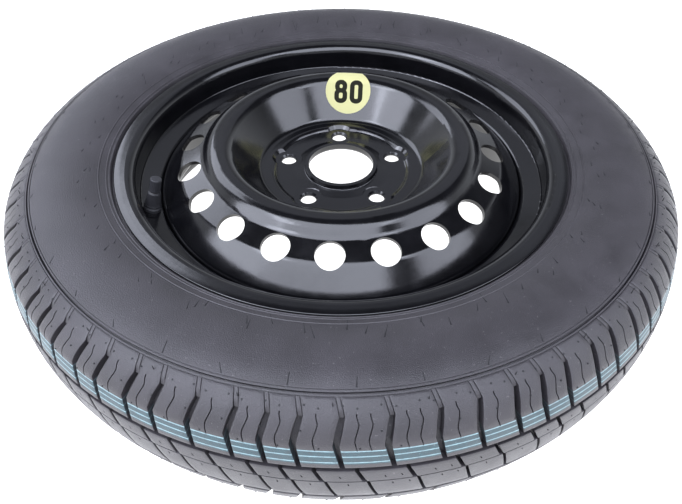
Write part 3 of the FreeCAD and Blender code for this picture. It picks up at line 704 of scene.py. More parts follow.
@dataclass(frozen=True)
class BlockCutter:
    """Makes one tread block as a closed solid, with eased edges and fine sipes."""

    ease: float = 0.45 * MM
    ease_depth: float = 0.25 * MM
    sipe_width: float = 0.85 * MM
    sipe_wall: float = 0.06 * MM
    sunk: float = 0.7 * MM
    fill_columns: int = 2
    wall_paint: float = 0.25

    def columns(self, sipes: Sequence[float]) -> list[Column]:
        """Lay out the block's columns.

        Args:
            sipes: Shares of the pitch where sipes run.

        Returns:
            The columns in order.
        """
        made = [Column(0.0, 0.0, self.ease_depth), Column(0.0, self.ease)]
        half = self.sipe_width / 2
        stops = [0.0, *sipes, 1.0]
        for index, stop in enumerate(stops[1:]):
            before = stops[index]
            for fill in range(1, self.fill_columns + 1):
                share = fill / (self.fill_columns + 1)
                made.append(Column(before + (stop - before) * share, 0.0))
            if stop < 1.0:
                made.append(Column(stop, -half, by_sipe=True))
                made.append(Column(stop, self.sipe_wall - half, in_sipe=True, by_sipe=True))
                made.append(Column(stop, half - self.sipe_wall, in_sipe=True, by_sipe=True))
                made.append(Column(stop, half, by_sipe=True))
        made += [Column(1.0, -self.ease), Column(1.0, 0.0, self.ease_depth)]
        return made

    @staticmethod
    def spot(radius: float, height: float, angle: float) -> Vector:
        """Give a point of the tyre by radius, height and angle."""
        return Vector((radius * math.cos(angle), radius * math.sin(angle), height))

    def cut(self, bm: bmesh.types.BMesh, pitch: float, rows: Sequence[Row], sipes: Sequence[float]) -> None:
        """Add a block to a mesh.

        Args:
            bm: The mesh that gets the block.
            pitch: Angle from the groove before the block to the one after it.
            rows: The block's rows, from one end to the other.
            sipes: Shares of the pitch where sipes run.
        """
        face_mark = bm.faces.layers.float.get(TREAD_FACE) or bm.faces.layers.float.new(TREAD_FACE)
        columns = self.columns(sipes)
        top, low = [], []
        for row in rows:
            radius = row.station.radius
            first = (row.shift + row.gap / 2) / radius
            last = pitch + (row.shift - row.gap / 2) / radius
            line = []
            for column in columns:
                sideways = column.inset + (row.sipe_shift if column.by_sipe else 0.0)
                angle = first + (last - first) * column.share + sideways / radius
                depth = row.sipe if column.in_sipe and row.sipe else max(row.dip, column.dip)
                line.append(bm.verts.new(self.spot(*row.station.sunk(depth), angle)))
            top.append(line)
            foot = row.station.sunk(row.floor + self.sunk)
            low.append([bm.verts.new(self.spot(*foot, angle)) for angle in (first, last)])
        for i in range(len(rows) - 1):
            for j in range(len(columns) - 1):
                face = bm.faces.new((top[i][j], top[i][j + 1], top[i + 1][j + 1], top[i + 1][j]))
                inside = columns[j].in_sipe or columns[j + 1].in_sipe
                face[face_mark] = 0.0 if inside and rows[i].sipe else 1.0
            before = bm.faces.new((top[i][0], top[i + 1][0], low[i + 1][0], low[i][0]))
            after = bm.faces.new((top[i][-1], low[i][1], low[i + 1][1], top[i + 1][-1]))
            before[face_mark] = after[face_mark] = self.wall_paint
            bm.faces.new((low[i][0], low[i + 1][0], low[i + 1][1], low[i][1]))
        bm.faces.new((*top[0], low[0][1], low[0][0]))
        bm.faces.new((*reversed(top[-1]), low[-1][0], low[-1][1]))


def end_tree(tree: bpy.types.NodeTree, given: bpy.types.Node, out: bpy.types.Node,
             instances: bpy.types.NodeSocket) -> None:
    """Make a tree's instances real, dress them and put them out.

    Args:
        tree: The tree.
        given: Its input node, which holds the finish.
        out: Its output node.
        instances: The instances.
    """
    real = put(tree, "GeometryNodeRealizeInstances", {0: instances})
    dressed = put(tree, "GeometryNodeSetMaterial", {
        "Geometry": real.outputs[0], "Material": given.outputs["Finish"]})
    tree.links.new(dressed.outputs[0], out.inputs[0])


def ring_tree() -> bpy.types.NodeTree:
    """Build the tree that sets tread pitches round the tyre.

    Returns:
        The tree. Its points carry a turn and a kind, and each kind has an object.
    """
    tree, given, out = new_group(
        "tread_ring", "GeometryNodeTree",
        [("Points", "NodeSocketGeometry"), ("Short", "NodeSocketObject"), ("Middle", "NodeSocketObject"),
         ("Long", "NodeSocketObject"), ("Finish", "NodeSocketMaterial")],
        [("Geometry", "NodeSocketGeometry")])
    turn = put(tree, "GeometryNodeInputNamedAttribute", {"Name": PITCH_TURN}, data_type="FLOAT")
    swing = put(tree, "ShaderNodeCombineXYZ", {2: turn.outputs[0]})
    spin = put(tree, "FunctionNodeEulerToRotation", {0: swing.outputs[0]})
    kind = put(tree, "GeometryNodeInputNamedAttribute", {"Name": PITCH_KIND}, data_type="INT")
    joined = tree.nodes.new("GeometryNodeJoinGeometry")
    for pitch, title in zip(Pitch, ("Short", "Middle", "Long")):
        block = put(tree, "GeometryNodeObjectInfo", {"Object": given.outputs[title], "As Instance": True})
        chosen = put(tree, "FunctionNodeCompare", {2: kind.outputs[0], 3: int(pitch)},
                     data_type="INT", operation="EQUAL")
        ring = put(tree, "GeometryNodeInstanceOnPoints", {
            "Points": given.outputs["Points"], "Selection": chosen.outputs[0],
            "Instance": block.outputs["Geometry"], "Rotation": spin.outputs[0]})
        tree.links.new(ring.outputs[0], joined.inputs[0])
    end_tree(tree, given, out, joined.outputs[0])
    return tree


def whisker_tree() -> bpy.types.NodeTree:
    """Build the tree that grows a rubber whisker on each point, along its lean.

    Returns:
        The tree.
    """
    tree, given, out = new_group(
        "mould_whiskers", "GeometryNodeTree",
        [("Points", "NodeSocketGeometry"), ("Length", "NodeSocketFloat", 4 * MM),
         ("Thickness", "NodeSocketFloat", 0.5 * MM), ("Shortest", "NodeSocketFloat", 0.5),
         ("Seed", "NodeSocketInt", 1), ("Finish", "NodeSocketMaterial")],
        [("Geometry", "NodeSocketGeometry")])
    lean = put(tree, "GeometryNodeInputNamedAttribute", {"Name": LEAN}, data_type="FLOAT_VECTOR")
    along = put(tree, "FunctionNodeAlignRotationToVector", {"Vector": lean.outputs[0]}, axis="Z")
    share = put(tree, "FunctionNodeRandomValue", {
        2: given.outputs["Shortest"], 3: 1.0, "Seed": given.outputs["Seed"]}, data_type="FLOAT")
    length = math_node(tree, "MULTIPLY", given.outputs["Length"], share.outputs[1])
    size = put(tree, "ShaderNodeCombineXYZ", {
        0: given.outputs["Thickness"], 1: given.outputs["Thickness"], 2: length})
    hair = put(tree, "GeometryNodeMeshCone", {
        "Vertices": 6, "Radius Top": 0.35, "Radius Bottom": 0.5, "Depth": 1.0})
    grown = put(tree, "GeometryNodeInstanceOnPoints", {
        "Points": given.outputs["Points"], "Instance": hair.outputs[0],
        "Rotation": along.outputs[0], "Scale": size.outputs[0]})
    end_tree(tree, given, out, grown.outputs[0])
    return tree


def run_tree(piece: bpy.types.Object, tree: bpy.types.NodeTree, **values: object) -> None:
    """Run a tree on a piece's points and keep the result as its mesh.

    Args:
        piece: The object that holds the points.
        tree: The tree.
        values: The tree's inputs, by name.
    """
    modifier = piece.modifiers.new(tree.name, "NODES")
    modifier.node_group = tree
    for item in tree.interface.items_tree:
        if item.in_out == "INPUT" and item.name in values:
            modifier[item.identifier] = values[item.name]
    bake(piece)


@dataclass(frozen=True)
class WhiskerSet:
    """Whiskers of one kind: their rings, their lean and their size.

    A ring is a radius on the sidewall or a height on the tread, a count and a first angle in degrees.
    The lean has an outward, a combed and an upward share.
    """

    name: str
    lean: tuple[float, float, float]
    length: float
    thickness: float
    seed: int
    wall_rings: tuple[tuple[float, int, float], ...]
    tread_rings: tuple[tuple[float, int, float], ...] = ()


WHISKER_SETS = (
    WhiskerSet("sidewall_whiskers", (-0.075, 1.065, 0.0), 9.0 * MM, 0.9 * MM, 7, ((287.2 * MM, 40, 2.0),)),
    WhiskerSet("rim_whiskers", (-0.066, 1.0, 0.0), 14.0 * MM, 0.95 * MM, 3,
               ((248.5 * MM, 32, 7.0), (243.5 * MM, 36, 4.0), (238.5 * MM, 28, 1.0))),
    WhiskerSet("shoulder_whiskers", (0.2, 0.1, 1.0), 5.2 * MM, 0.8 * MM, 5, ((298 * MM, 30, 5.0),)),
    WhiskerSet("tread_nubs", (1.0, 0.0, 0.0), 0.6 * MM, 1.5 * MM, 11,
               ((298 * MM, 75, 1.4), (299.5 * MM, 75, 3.2), (311 * MM, 75, 1.2)), ((40 * MM, 75, 3.4),)),
)


@dataclass
class Tyre:
    """The tyre: a turned carcass, its rings of tread blocks and its mould whiskers."""

    rubber: bpy.types.Material
    striped: bpy.types.Material
    # Whisker and nub rubber, darker than the tyre's own: painted shade that stands in for the shadows they
    # cast.
    dark: bpy.types.Material
    section: TyreSection
    cutter: BlockCutter = BlockCutter()
    steps: int = 360
    first_groove: float = math.radians(-103.46)
    # The lip's groove, as ways out from the lip and depths, and the ridges beside it.
    lip_groove: tuple[Point, ...] = ((0.05 * MM, 3.0 * MM), (0.55 * MM, 2.6 * MM), (1.75 * MM, 0.4 * MM))
    ridge_radii: tuple[float, ...] = (222.6 * MM, 225.2 * MM, 231.5 * MM)
    ridge_half: float = 0.7 * MM
    ridge_top_half: float = 0.35 * MM
    ridge_rise: float = 0.45 * MM
    # Radii of the plain sidewall's rings, in mm.
    wall_rings: range = range(235, 288, 4)
    # The bead's corners, and each arc of the liner: its end, radius and steps, all in mm.
    bead: tuple[Point, ...] = (
        (219.8, 50.5), (211.2, 50.5), (207.2, 49.6), (204.4, 46.9), (203.5, 43.0), (203.5, 29.0))
    liner_arcs: tuple[tuple[Point, float, int], ...] = (
        ((219.8, 44.3), 85, 4), ((272, 59.5), 85, 6), ((306, 35.5), 36, 6), ((313.7, 0.0), 86, 4))
    # The shoulder's two ring lines: radius, half width and depth. Their floors and the middle line's
    # take up this share of the width.
    ring_lines: tuple[tuple[float, float, float], ...] = (
        (288.6 * MM, 0.4 * MM, 0.8 * MM), (290.9 * MM, 0.8 * MM, 3.4 * MM))
    line_floor_share: float = 0.8
    # The zigzag groove between shoulder blocks, from kink to kink: its steps, gaps and shares of depth.
    groove_steps: tuple[int, ...] = (6, 4, 4, 10)
    groove_gaps: tuple[float, ...] = (3.6 * MM, 3.9 * MM, 4.9 * MM, 4.7 * MM, 3.4 * MM)
    groove_floors: tuple[float, ...] = (0.25, 0.9, 1.0, 1.0, 1.0)
    # The floor under the shoulder blocks: radii with shares of depth, then heights at full depth.
    floor_shares: tuple[Point, ...] = (
        (297 * MM, 0.25), (301 * MM, 0.5), (303.5 * MM, 0.85), (308 * MM, 1.0), (312 * MM, 1.0))
    shoulder_levels: tuple[float, ...] = (42 * MM, 36 * MM, 30 * MM)
    main_groove_wall: float = 0.6 * MM
    # The shoulder: the top of its blocks and the groove's kinks.
    block_top_radius: float = 293.2 * MM
    kink_radius: float = 304 * MM
    edge_radius: float = 317 * MM
    shoulder_foot_height: float = 22.7 * MM
    kink_shift: float = 2.7 * MM
    edge_shift: float = -1.2 * MM
    foot_shift: float = 3.1 * MM
    sipe_top_radius: float = 303.5 * MM
    sipe_foot_height: float = 38.4 * MM
    sipe_depth: float = 2.6 * MM
    # A sipe's hook, from the top down: heights with sideways shifts, in mm.
    sipe_hook: tuple[Point, ...] = (
        (66.0, 1.2), (55.3, 1.2), (52.5, 2.6), (45.0, -0.7), (38.4, 1.2), (0.0, 1.2))
    # The flush strip in a groove's top: the line round it, where it ends and how its end drops.
    strip_line: float = 0.45 * MM
    strip_line_ease: float = 1.1
    strip_line_depth: float = 1.0 * MM
    strip_foot_height: float = 50 * MM
    strip_overrun: float = 0.5 * MM
    strip_drop: float = 0.9 * MM
    strip_drop_rows: int = 3
    # The middle of the tread: its stepped diagonal slots, fine line and short marks.
    centre_edge: float = 19.3 * MM
    line_height: float = 6.4 * MM
    line_half: float = 0.5 * MM
    line_depth: float = 0.9 * MM
    slot_start: float = 12.8 * MM
    slot_lean: float = 5.5 * MM
    slot_step: float = 2.0 * MM
    slot_foot: float = 7.0 * MM
    slot_gap: float = 3.1 * MM
    slot_foot_gap: float = 2.3 * MM
    tick_heights: tuple[float, ...] = (12.0 * MM, 2.0 * MM)
    tick_half: float = 1.2 * MM
    tick_depth: float = 2.4 * MM
    tick_floor_share: float = 0.97
    centre_levels: tuple[float, ...] = (16 * MM, 9 * MM, -3 * MM, -8 * MM, -13 * MM)
    centre_floor_levels: tuple[float, ...] = (12 * MM, 6 * MM)
    floor_depth: float = 7.2 * MM
    inner_floor_depth: float = 3.2 * MM
    main_groove_depth: float = 7.8 * MM
    # The whiskers: the inner side's lag in degrees, how the comb wavers, and the shortest share of a length.
    inner_lag: float = 0.7
    comb_swing: float = 0.25
    comb_turn: float = 2.4
    shortest_whisker: float = 0.55

    def build(self) -> list[bpy.types.Object]:
        """Build every piece of the tyre.

        Returns:
            The pieces.
        """
        ring = ring_tree()
        outer = self.shoulder_rows()
        inner = [replace(row, station=row.station.flipped()) for row in outer]
        pieces = [self.carcass()]
        for name, rows, material in (("tread_outer_shoulder", outer, self.striped),
                                     ("tread_inner_shoulder", inner, self.rubber)):
            pieces.append(self.block_ring(name, rows, True, ring, material))
        pieces.append(self.block_ring("tread_centre", self.centre_rows(), False, ring, self.rubber))
        pieces += self.whiskers()
        return pieces

    def dress(self, pieces: Iterable[bpy.types.Object]) -> None:
        """Set the pieces on the wheel in place of the plain tyre.

        Args:
            pieces: The tyre's pieces.
        """
        for piece in pieces:
            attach(piece, WHEEL)
            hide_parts("tyre")

    def pitches(self) -> list[tuple[Pitch, float, float]]:
        """Lay the pitches round the tyre.

        Returns:
            Each pitch's kind, its start and its angle, in radians.
        """
        kinds = [PITCH_LETTERS[letter] for letter in PITCH_RUN * RUN_REPEATS + PITCH_CLOSE]
        unit = 2 * math.pi / sum(kind.weight for kind in kinds)
        laid, start = [], self.first_groove
        for kind in kinds:
            laid.append((kind, start, kind.weight * unit))
            start += kind.weight * unit
        return laid

    def floor_line(self, shoulder_depth: float) -> list[tuple[Station, float]]:
        """Give half of the carcass's face, from the rim's lip to the middle of the tread.

        Args:
            shoulder_depth: Depth of the shoulder grooves' floor.

        Returns:
            Each place and how deep the carcass lies below the tyre's face there.
        """
        wall, tread = self.section.sidewall, self.section.tread
        line = [(wall(self.section.lip_radius + out), depth) for out, depth in self.lip_groove]
        for ridge in self.ridge_radii:
            line += self.ring_step(ridge, self.ridge_half, self.ridge_top_half, -self.ridge_rise)
        line += [(wall(radius * MM), 0.0) for radius in self.wall_rings]
        for centre, half, depth in self.ring_lines:
            line += self.ring_step(centre, half, half * self.line_floor_share, depth)
        top = self.block_top_radius
        line += [(wall(top - self.strip_line * self.strip_line_ease), 0.0),
                 (wall(top - self.strip_line), self.strip_line_depth)]
        line += [(wall(radius), share * shoulder_depth) for radius, share in self.floor_shares]
        line += [(tread(height), shoulder_depth) for height in self.shoulder_levels]
        foot, middle, rise = self.shoulder_foot_height, self.centre_edge, self.main_groove_wall
        line += [(tread(foot + rise), shoulder_depth), (tread(foot), self.main_groove_depth),
                 (tread(middle), self.main_groove_depth), (tread(middle - rise), self.floor_depth)]
        line += [(tread(height), self.floor_depth) for height in self.centre_floor_levels]
        return line

    def ring_step(self, centre: float, half: float, floor_half: float,
                  depth: float) -> list[tuple[Station, float]]:
        """Give a ring that is cut into the sidewall, or stands up from it.

        Args:
            centre: The ring's radius.
            half: Half its width at the face.
            floor_half: Half its width at its floor or top.
            depth: Its depth, below 0 for one that stands up.

        Returns:
            Its four corners, each with its depth.
        """
        wall = self.section.sidewall
        return [(wall(centre - half), 0.0), (wall(centre - floor_half), depth),
                (wall(centre + floor_half), depth), (wall(centre + half), 0.0)]

    def carcass(self) -> bpy.types.Object:
        """Turn the carcass: sidewalls, groove floors, beads and liner.

        Returns:
            The carcass.
        """
        outer = [place.sunk(depth) for place, depth in self.floor_line(self.floor_depth)]
        inner = [place.flipped().sunk(depth) for place, depth in self.floor_line(self.inner_floor_depth)]
        crown = self.section.tread(0.0).sunk(self.floor_depth)
        lip = [(r * MM, z * MM) for r, z in self.bead]
        liner = lip[-1:]
        for (r, z), radius, steps in self.liner_arcs:
            liner += arc_between(liner[-1], (r * MM, z * MM), radius * MM, steps)
        upper_inside = lip + liner[1:-1]
        lower_inside = [(r, -z) for r, z in reversed(upper_inside)]
        outline = list(reversed(upper_inside)) + outer + [crown] + list(reversed(inner))
        outline += list(reversed(lower_inside)) + [liner[-1]]
        bm = bmesh.new()
        revolve(bm, outline, self.steps)
        piece = new_piece("tyre_carcass", bm)
        paint(piece, self.rubber)
        return piece

    def shoulder_rows(self) -> list[Row]:
        """Lay the rows of a shoulder block along its zigzag, from the shoulder to the main groove.

        Returns:
            The rows.
        """
        wall, tread = self.section.sidewall, self.section.tread
        middle = (self.kink_radius + self.edge_radius) / 2
        middle_shift = (self.kink_shift + self.edge_shift) / 2
        spans = ((wall, self.block_top_radius, self.kink_radius), (wall, self.kink_radius, middle),
                 (wall, middle, self.edge_radius),
                 (tread, wall(self.edge_radius).height, self.shoulder_foot_height))
        shifts = (0.0, self.kink_shift, middle_shift, self.edge_shift, self.foot_shift)
        runs = (shifts, self.groove_gaps, self.groove_floors)
        laid = []
        for index, (place, start, end) in enumerate(spans):
            steps = self.groove_steps[index]
            for step in range(steps):
                share = step / steps
                laid.append((place(start + (end - start) * share),
                             *(run[index] + (run[index + 1] - run[index]) * share for run in runs)))
        laid.append((tread(self.shoulder_foot_height), *(run[-1] for run in runs)))
        rows = []
        for station, shift, gap, floor in laid:
            cut = station.radius >= self.sipe_top_radius and station.height >= self.sipe_foot_height
            rows.append(Row(station, shift, gap, floor * self.floor_depth, 0.0,
                            self.sipe_depth if cut else 0.0, self.sipe_place(station) - shift))
        return self.eased(rows)

    def sipe_place(self, station: Station) -> float:
        """Give a sipe's sideways place along its own hook.

        Args:
            station: The place across the shoulder.

        Returns:
            The shift round the tyre.
        """
        hook = self.sipe_hook
        height = station.height / MM
        for (high, one), (low, other) in zip(hook, hook[1:]):
            if height >= low:
                return (other + (one - other) * (height - low) / (high - low)) * MM
        return hook[-1][1] * MM

    def eased(self, rows: list[Row]) -> list[Row]:
        """Round a block's two ends off a little.

        Args:
            rows: The block's rows.

        Returns:
            The rows with eased ends.
        """
        first, last = rows[0], rows[-1]
        depth = self.cutter.ease_depth
        ends = [Row(row.station, row.shift, row.gap, row.floor, depth) for row in (first, last)]
        inner = []
        for row, beside in ((first, rows[1]), (last, rows[-2])):
            one, two = row.station, beside.station
            share = self.cutter.ease / math.dist((one.radius, one.height), (two.radius, two.height))
            between = Station(*(a + (b - a) * share for a, b in (
                (one.radius, two.radius), (one.height, two.height),
                (one.out_radius, two.out_radius), (one.out_height, two.out_height))))
            inner.append(Row(between, row.shift, row.gap, row.floor))
        return [ends[0], inner[0], *rows[1:-1], inner[1], ends[1]]

    def strip_rows(self, rows: Sequence[Row]) -> list[Row]:
        """Lay the rows of the flush strip that fills the top of a shoulder groove.

        Args:
            rows: The rows of the block beside it.

        Returns:
            The strip's rows.
        """
        flush = [row for row in rows if abs(row.station.height) > self.strip_foot_height
                 and row.station.radius < self.kink_radius + self.strip_overrun]
        made = []
        for index, row in enumerate(flush):
            drop = max(0, index - len(flush) + self.strip_drop_rows) * self.strip_drop
            made.append(Row(row.station, row.shift, 2 * self.strip_line - row.gap, row.floor, drop))
        return made

    def centre_rows(self) -> list[Row]:
        """Lay the rows of a middle block: two halves on either side of the centre line.

        Returns:
            The rows.
        """
        levels = {self.centre_edge, -self.centre_edge, *self.centre_levels}
        cuts = [(self.line_height, self.line_half, self.line_floor_share)]
        cuts += [(tick, self.tick_half, self.tick_floor_share) for tick in self.tick_heights]
        for centre, half, floor in cuts:
            levels |= {centre + side * half * share for side in (1, -1) for share in (1, floor)}
        return self.eased([self.centre_row(level) for level in sorted(levels, reverse=True)])

    def centre_row(self, height: float) -> Row:
        """Lay one row of a middle block.

        Args:
            height: The row's height.

        Returns:
            The row.
        """
        line = self.line_height
        if height > line:
            share = (self.centre_edge - height) / (self.centre_edge - line)
            shift, gap = self.slot_start + self.slot_lean * share, self.slot_gap
        else:
            share = (line - height) / (line + self.centre_edge)
            shift = self.slot_start + self.slot_lean + self.slot_step + self.slot_foot * share
            gap = self.slot_foot_gap
        in_line = abs(height - line) < self.line_half * (1 + self.line_floor_share) / 2
        reach = self.tick_half * (1 + self.tick_floor_share) / 2
        in_tick = any(abs(height - tick) < reach for tick in self.tick_heights)
        return Row(self.section.tread(height), shift, gap, self.floor_depth,
                   self.line_depth if in_line else 0.0, self.tick_depth if in_tick else 0.0)

    def block_ring(self, name: str, rows: Sequence[Row], shoulder: bool, tree: bpy.types.NodeTree,
                   material: bpy.types.Material) -> bpy.types.Object:
        """Make a ring of tread blocks.

        Args:
            name: The piece's name.
            rows: The block's rows.
            shoulder: True for a shoulder block, with its sipes and strip.
            tree: The tree that sets pitches round the tyre.
            material: The blocks' finish.

        Returns:
            The ring.
        """
        laid = self.pitches()
        blocks = {}
        for kind in Pitch:
            angle = next(angle for other, _, angle in laid if other is kind)
            bm = bmesh.new()
            self.cutter.cut(bm, angle, rows, kind.sipes if shoulder else kind.ticks)
            if shoulder:
                self.cutter.cut(bm, 0.0, self.strip_rows(rows), ())
            blocks[kind] = new_piece(f"{name}_{kind.name.lower()}", bm)
        piece = new_points(name, [(0.0, 0.0, 0.0)] * len(laid))
        turns = piece.data.attributes.new(PITCH_TURN, "FLOAT", "POINT")
        turns.data.foreach_set("value", [start for _, start, _ in laid])
        kinds = piece.data.attributes.new(PITCH_KIND, "INT", "POINT")
        kinds.data.foreach_set("value", [int(kind) for kind, _, _ in laid])
        run_tree(piece, tree, Short=blocks[Pitch.SHORT], Middle=blocks[Pitch.MIDDLE],
                 Long=blocks[Pitch.LONG], Finish=material)
        for block in blocks.values():
            bpy.data.objects.remove(block)
        return piece

    def whiskers(self) -> list[bpy.types.Object]:
        """Grow the mould's whiskers on the sidewalls, combed one way, and its nubs on the tread.

        Returns:
            The pieces, one for each set.
        """
        tree = whisker_tree()
        wall, tread = self.section.sidewall, self.section.tread
        made = []
        for kind in WHISKER_SETS:
            rows = [(wall(radius), count, first) for radius, count, first in kind.wall_rings]
            rows += [(tread(height), count, first) for height, count, first in kind.tread_rings]
            rows += [(place.flipped(), count, first + self.inner_lag) for place, count, first in rows]
            outward, combed, upward = kind.lean
            places, leans = [], []
            for station, count, first in rows:
                for number in range(count):
                    angle = math.radians(first) + 2 * math.pi * number / count
                    out = BlockCutter.spot(station.out_radius, station.out_height, angle)
                    comb = Vector((self.comb_swing * math.sin(number * self.comb_turn), 1.0, 0.0))
                    along = (comb - out * comb.dot(out)).normalized()
                    places.append(BlockCutter.spot(station.radius, station.height, angle))
                    up = Vector((0.0, 0.0, math.copysign(1.0, station.height)))
                    leans.append(out * outward + along * combed + up * upward)
            piece = new_points(kind.name, places)
            lean = piece.data.attributes.new(LEAN, "FLOAT_VECTOR", "POINT")
            lean.data.foreach_set("vector", [value for vector in leans for value in vector])
            # The whiskers and nubs take the darker rubber, painted shade for their shadows.
            run_tree(piece, tree, Length=kind.length, Thickness=kind.thickness,
                     Shortest=self.shortest_whisker, Seed=kind.seed, Finish=self.dark)
            made.append(piece)
        return made


@dataclass
class FlangeEdges:
    """The painted edges of the rim's two flanges, turned finer than the solid's own facets."""

    paint: bpy.types.Material
    radius: float
    top: float
    sheet: float = 2.5 * MM
    reach: float = 6.3 * MM
    under_reach: float = 2.5 * MM
    edge_round: float = 1.1 * MM
    edge_lap: float = 0.2 * MM
    coat: float = 0.03 * MM
    round_steps: int = 5
    steps: int = 360

    def outline(self) -> list[Point]:
        """Give the section of the outer flange's edge.

        Returns:
            The closed outline, from the flange's top round its edge to its underside.
        """
        outside, over = self.radius + self.coat, self.top + self.coat
        under = self.top - self.sheet - self.coat
        bend, foot = self.edge_round, self.radius - self.under_reach
        near, far = outside - bend, self.radius - self.reach
        top_round = arc_between((near, over), (outside, over - bend), bend, self.round_steps)
        low_round = arc_between((outside, under + bend), (near, under), bend, self.round_steps)
        return [(foot, (over + under) / 2), (far, over - self.edge_lap), (far + self.edge_lap, over),
                (near, over), *top_round, (outside, under + bend), *low_round, (foot, under)]

    def build(self) -> list[bpy.types.Object]:
        """Turn both edges and set them on the wheel.

        Returns:
            The two pieces.
        """
        made = []
        for name, side in (("outer_flange_edge", 1), ("inner_flange_edge", -1)):
            bm = bmesh.new()
            revolve(bm, [(radius, side * height) for radius, height in self.outline()[::side]], self.steps)
            piece = new_piece(name, bm)
            paint(piece, self.paint)
            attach(piece, WHEEL)
            made.append(piece)
        return made


@dataclass
class CoreSpring:
    """The valve core's spring. On the real valve it shortens on the barrel's floor as the pin is pressed;
    this copy keeps its shape.
    """

    steel: bpy.types.Material
    node: str = "core_spring"
    joint: str = "pin_press"
    merge_distance: float = 0.001 * MM

    def build(self) -> bpy.types.Object:
        """Copy the spring's coil, merged, and set it on the wheel in place of the CAD coil.

        Returns:
            The spring.
        """
        bm = bmesh.new()
        bm.from_mesh(frame["nodes"][self.node].data)
        bmesh.ops.remove_doubles(bm, verts=bm.verts, dist=self.merge_distance)
        piece = new_piece("core_spring_coil", bm)
        paint(piece, self.steel)
        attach(piece, WHEEL)
        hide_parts(self.node)
        press = next(joint for joint in frame["joints"] if joint["name"] == self.joint)
        axis = Vector(press["axis"])
        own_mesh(piece)
        return piece


@dataclass
class DressedNodes:
    """CAD pieces that keep their form and get a finish."""

    finish: Finish
    nodes: tuple[str, ...]

    def dress(self, effects: Effects) -> None:
        """Paint the nodes.

        Args:
            effects: The shared node groups.
        """
        material = self.finish.material(effects)
        for name in self.nodes:
            paint(frame["nodes"][name], material)


@dataclass
class SpeedLabel:
    """The round paper label on the dish's wall, with its plain figures."""

    azimuth: float = math.radians(85.5)
    tilt: float = math.radians(52.1)
    radius: float = 102.9 * MM
    height: float = 50.3 * MM

    def finish(self) -> NumberedPaper:
        """Give the label's finish, with its figures set square to the dish.

        Returns:
            The finish.
        """
        cosine, sine = math.cos(self.azimuth), math.sin(self.azimuth)
        centre = Vector((self.radius * cosine, self.radius * sine, self.height))
        up = Vector((math.cos(self.tilt) * cosine, math.cos(self.tilt) * sine, math.sin(self.tilt)))
        return NumberedPaper("label_paper", (0.57, 0.55, 0.27, 1.0), drift=0.03, roughness=(0.45, 0.6),
                             specular=0.1, centre=centre, right=Vector((sine, -cosine, 0.0)), up=up)


@dataclass(frozen=True)
class Softbox:
    """One soft light: where it hangs, its width and height, and its power in watts."""

    name: str
    place: tuple[float, float, float]
    size: Point
    power: float


SOFTBOXES = (
    Softbox("softbox_behind", (-0.3, -1.5, 2.6), (3.8, 2.6), 132.0),
    Softbox("softbox_left", (-2.2, -0.85, 2.0), (1.8, 2.2), 62.0),
    Softbox("softbox_right", (2.2, -0.85, 2.0), (1.8, 2.2), 42.0),
    Softbox("softbox_far", (0.0, 2.5, 2.4), (3.4, 1.4), 6.0),
    Softbox("softbox_far_left", (-2.1, 1.7, 2.0), (2.2, 1.8), 40.0),
)


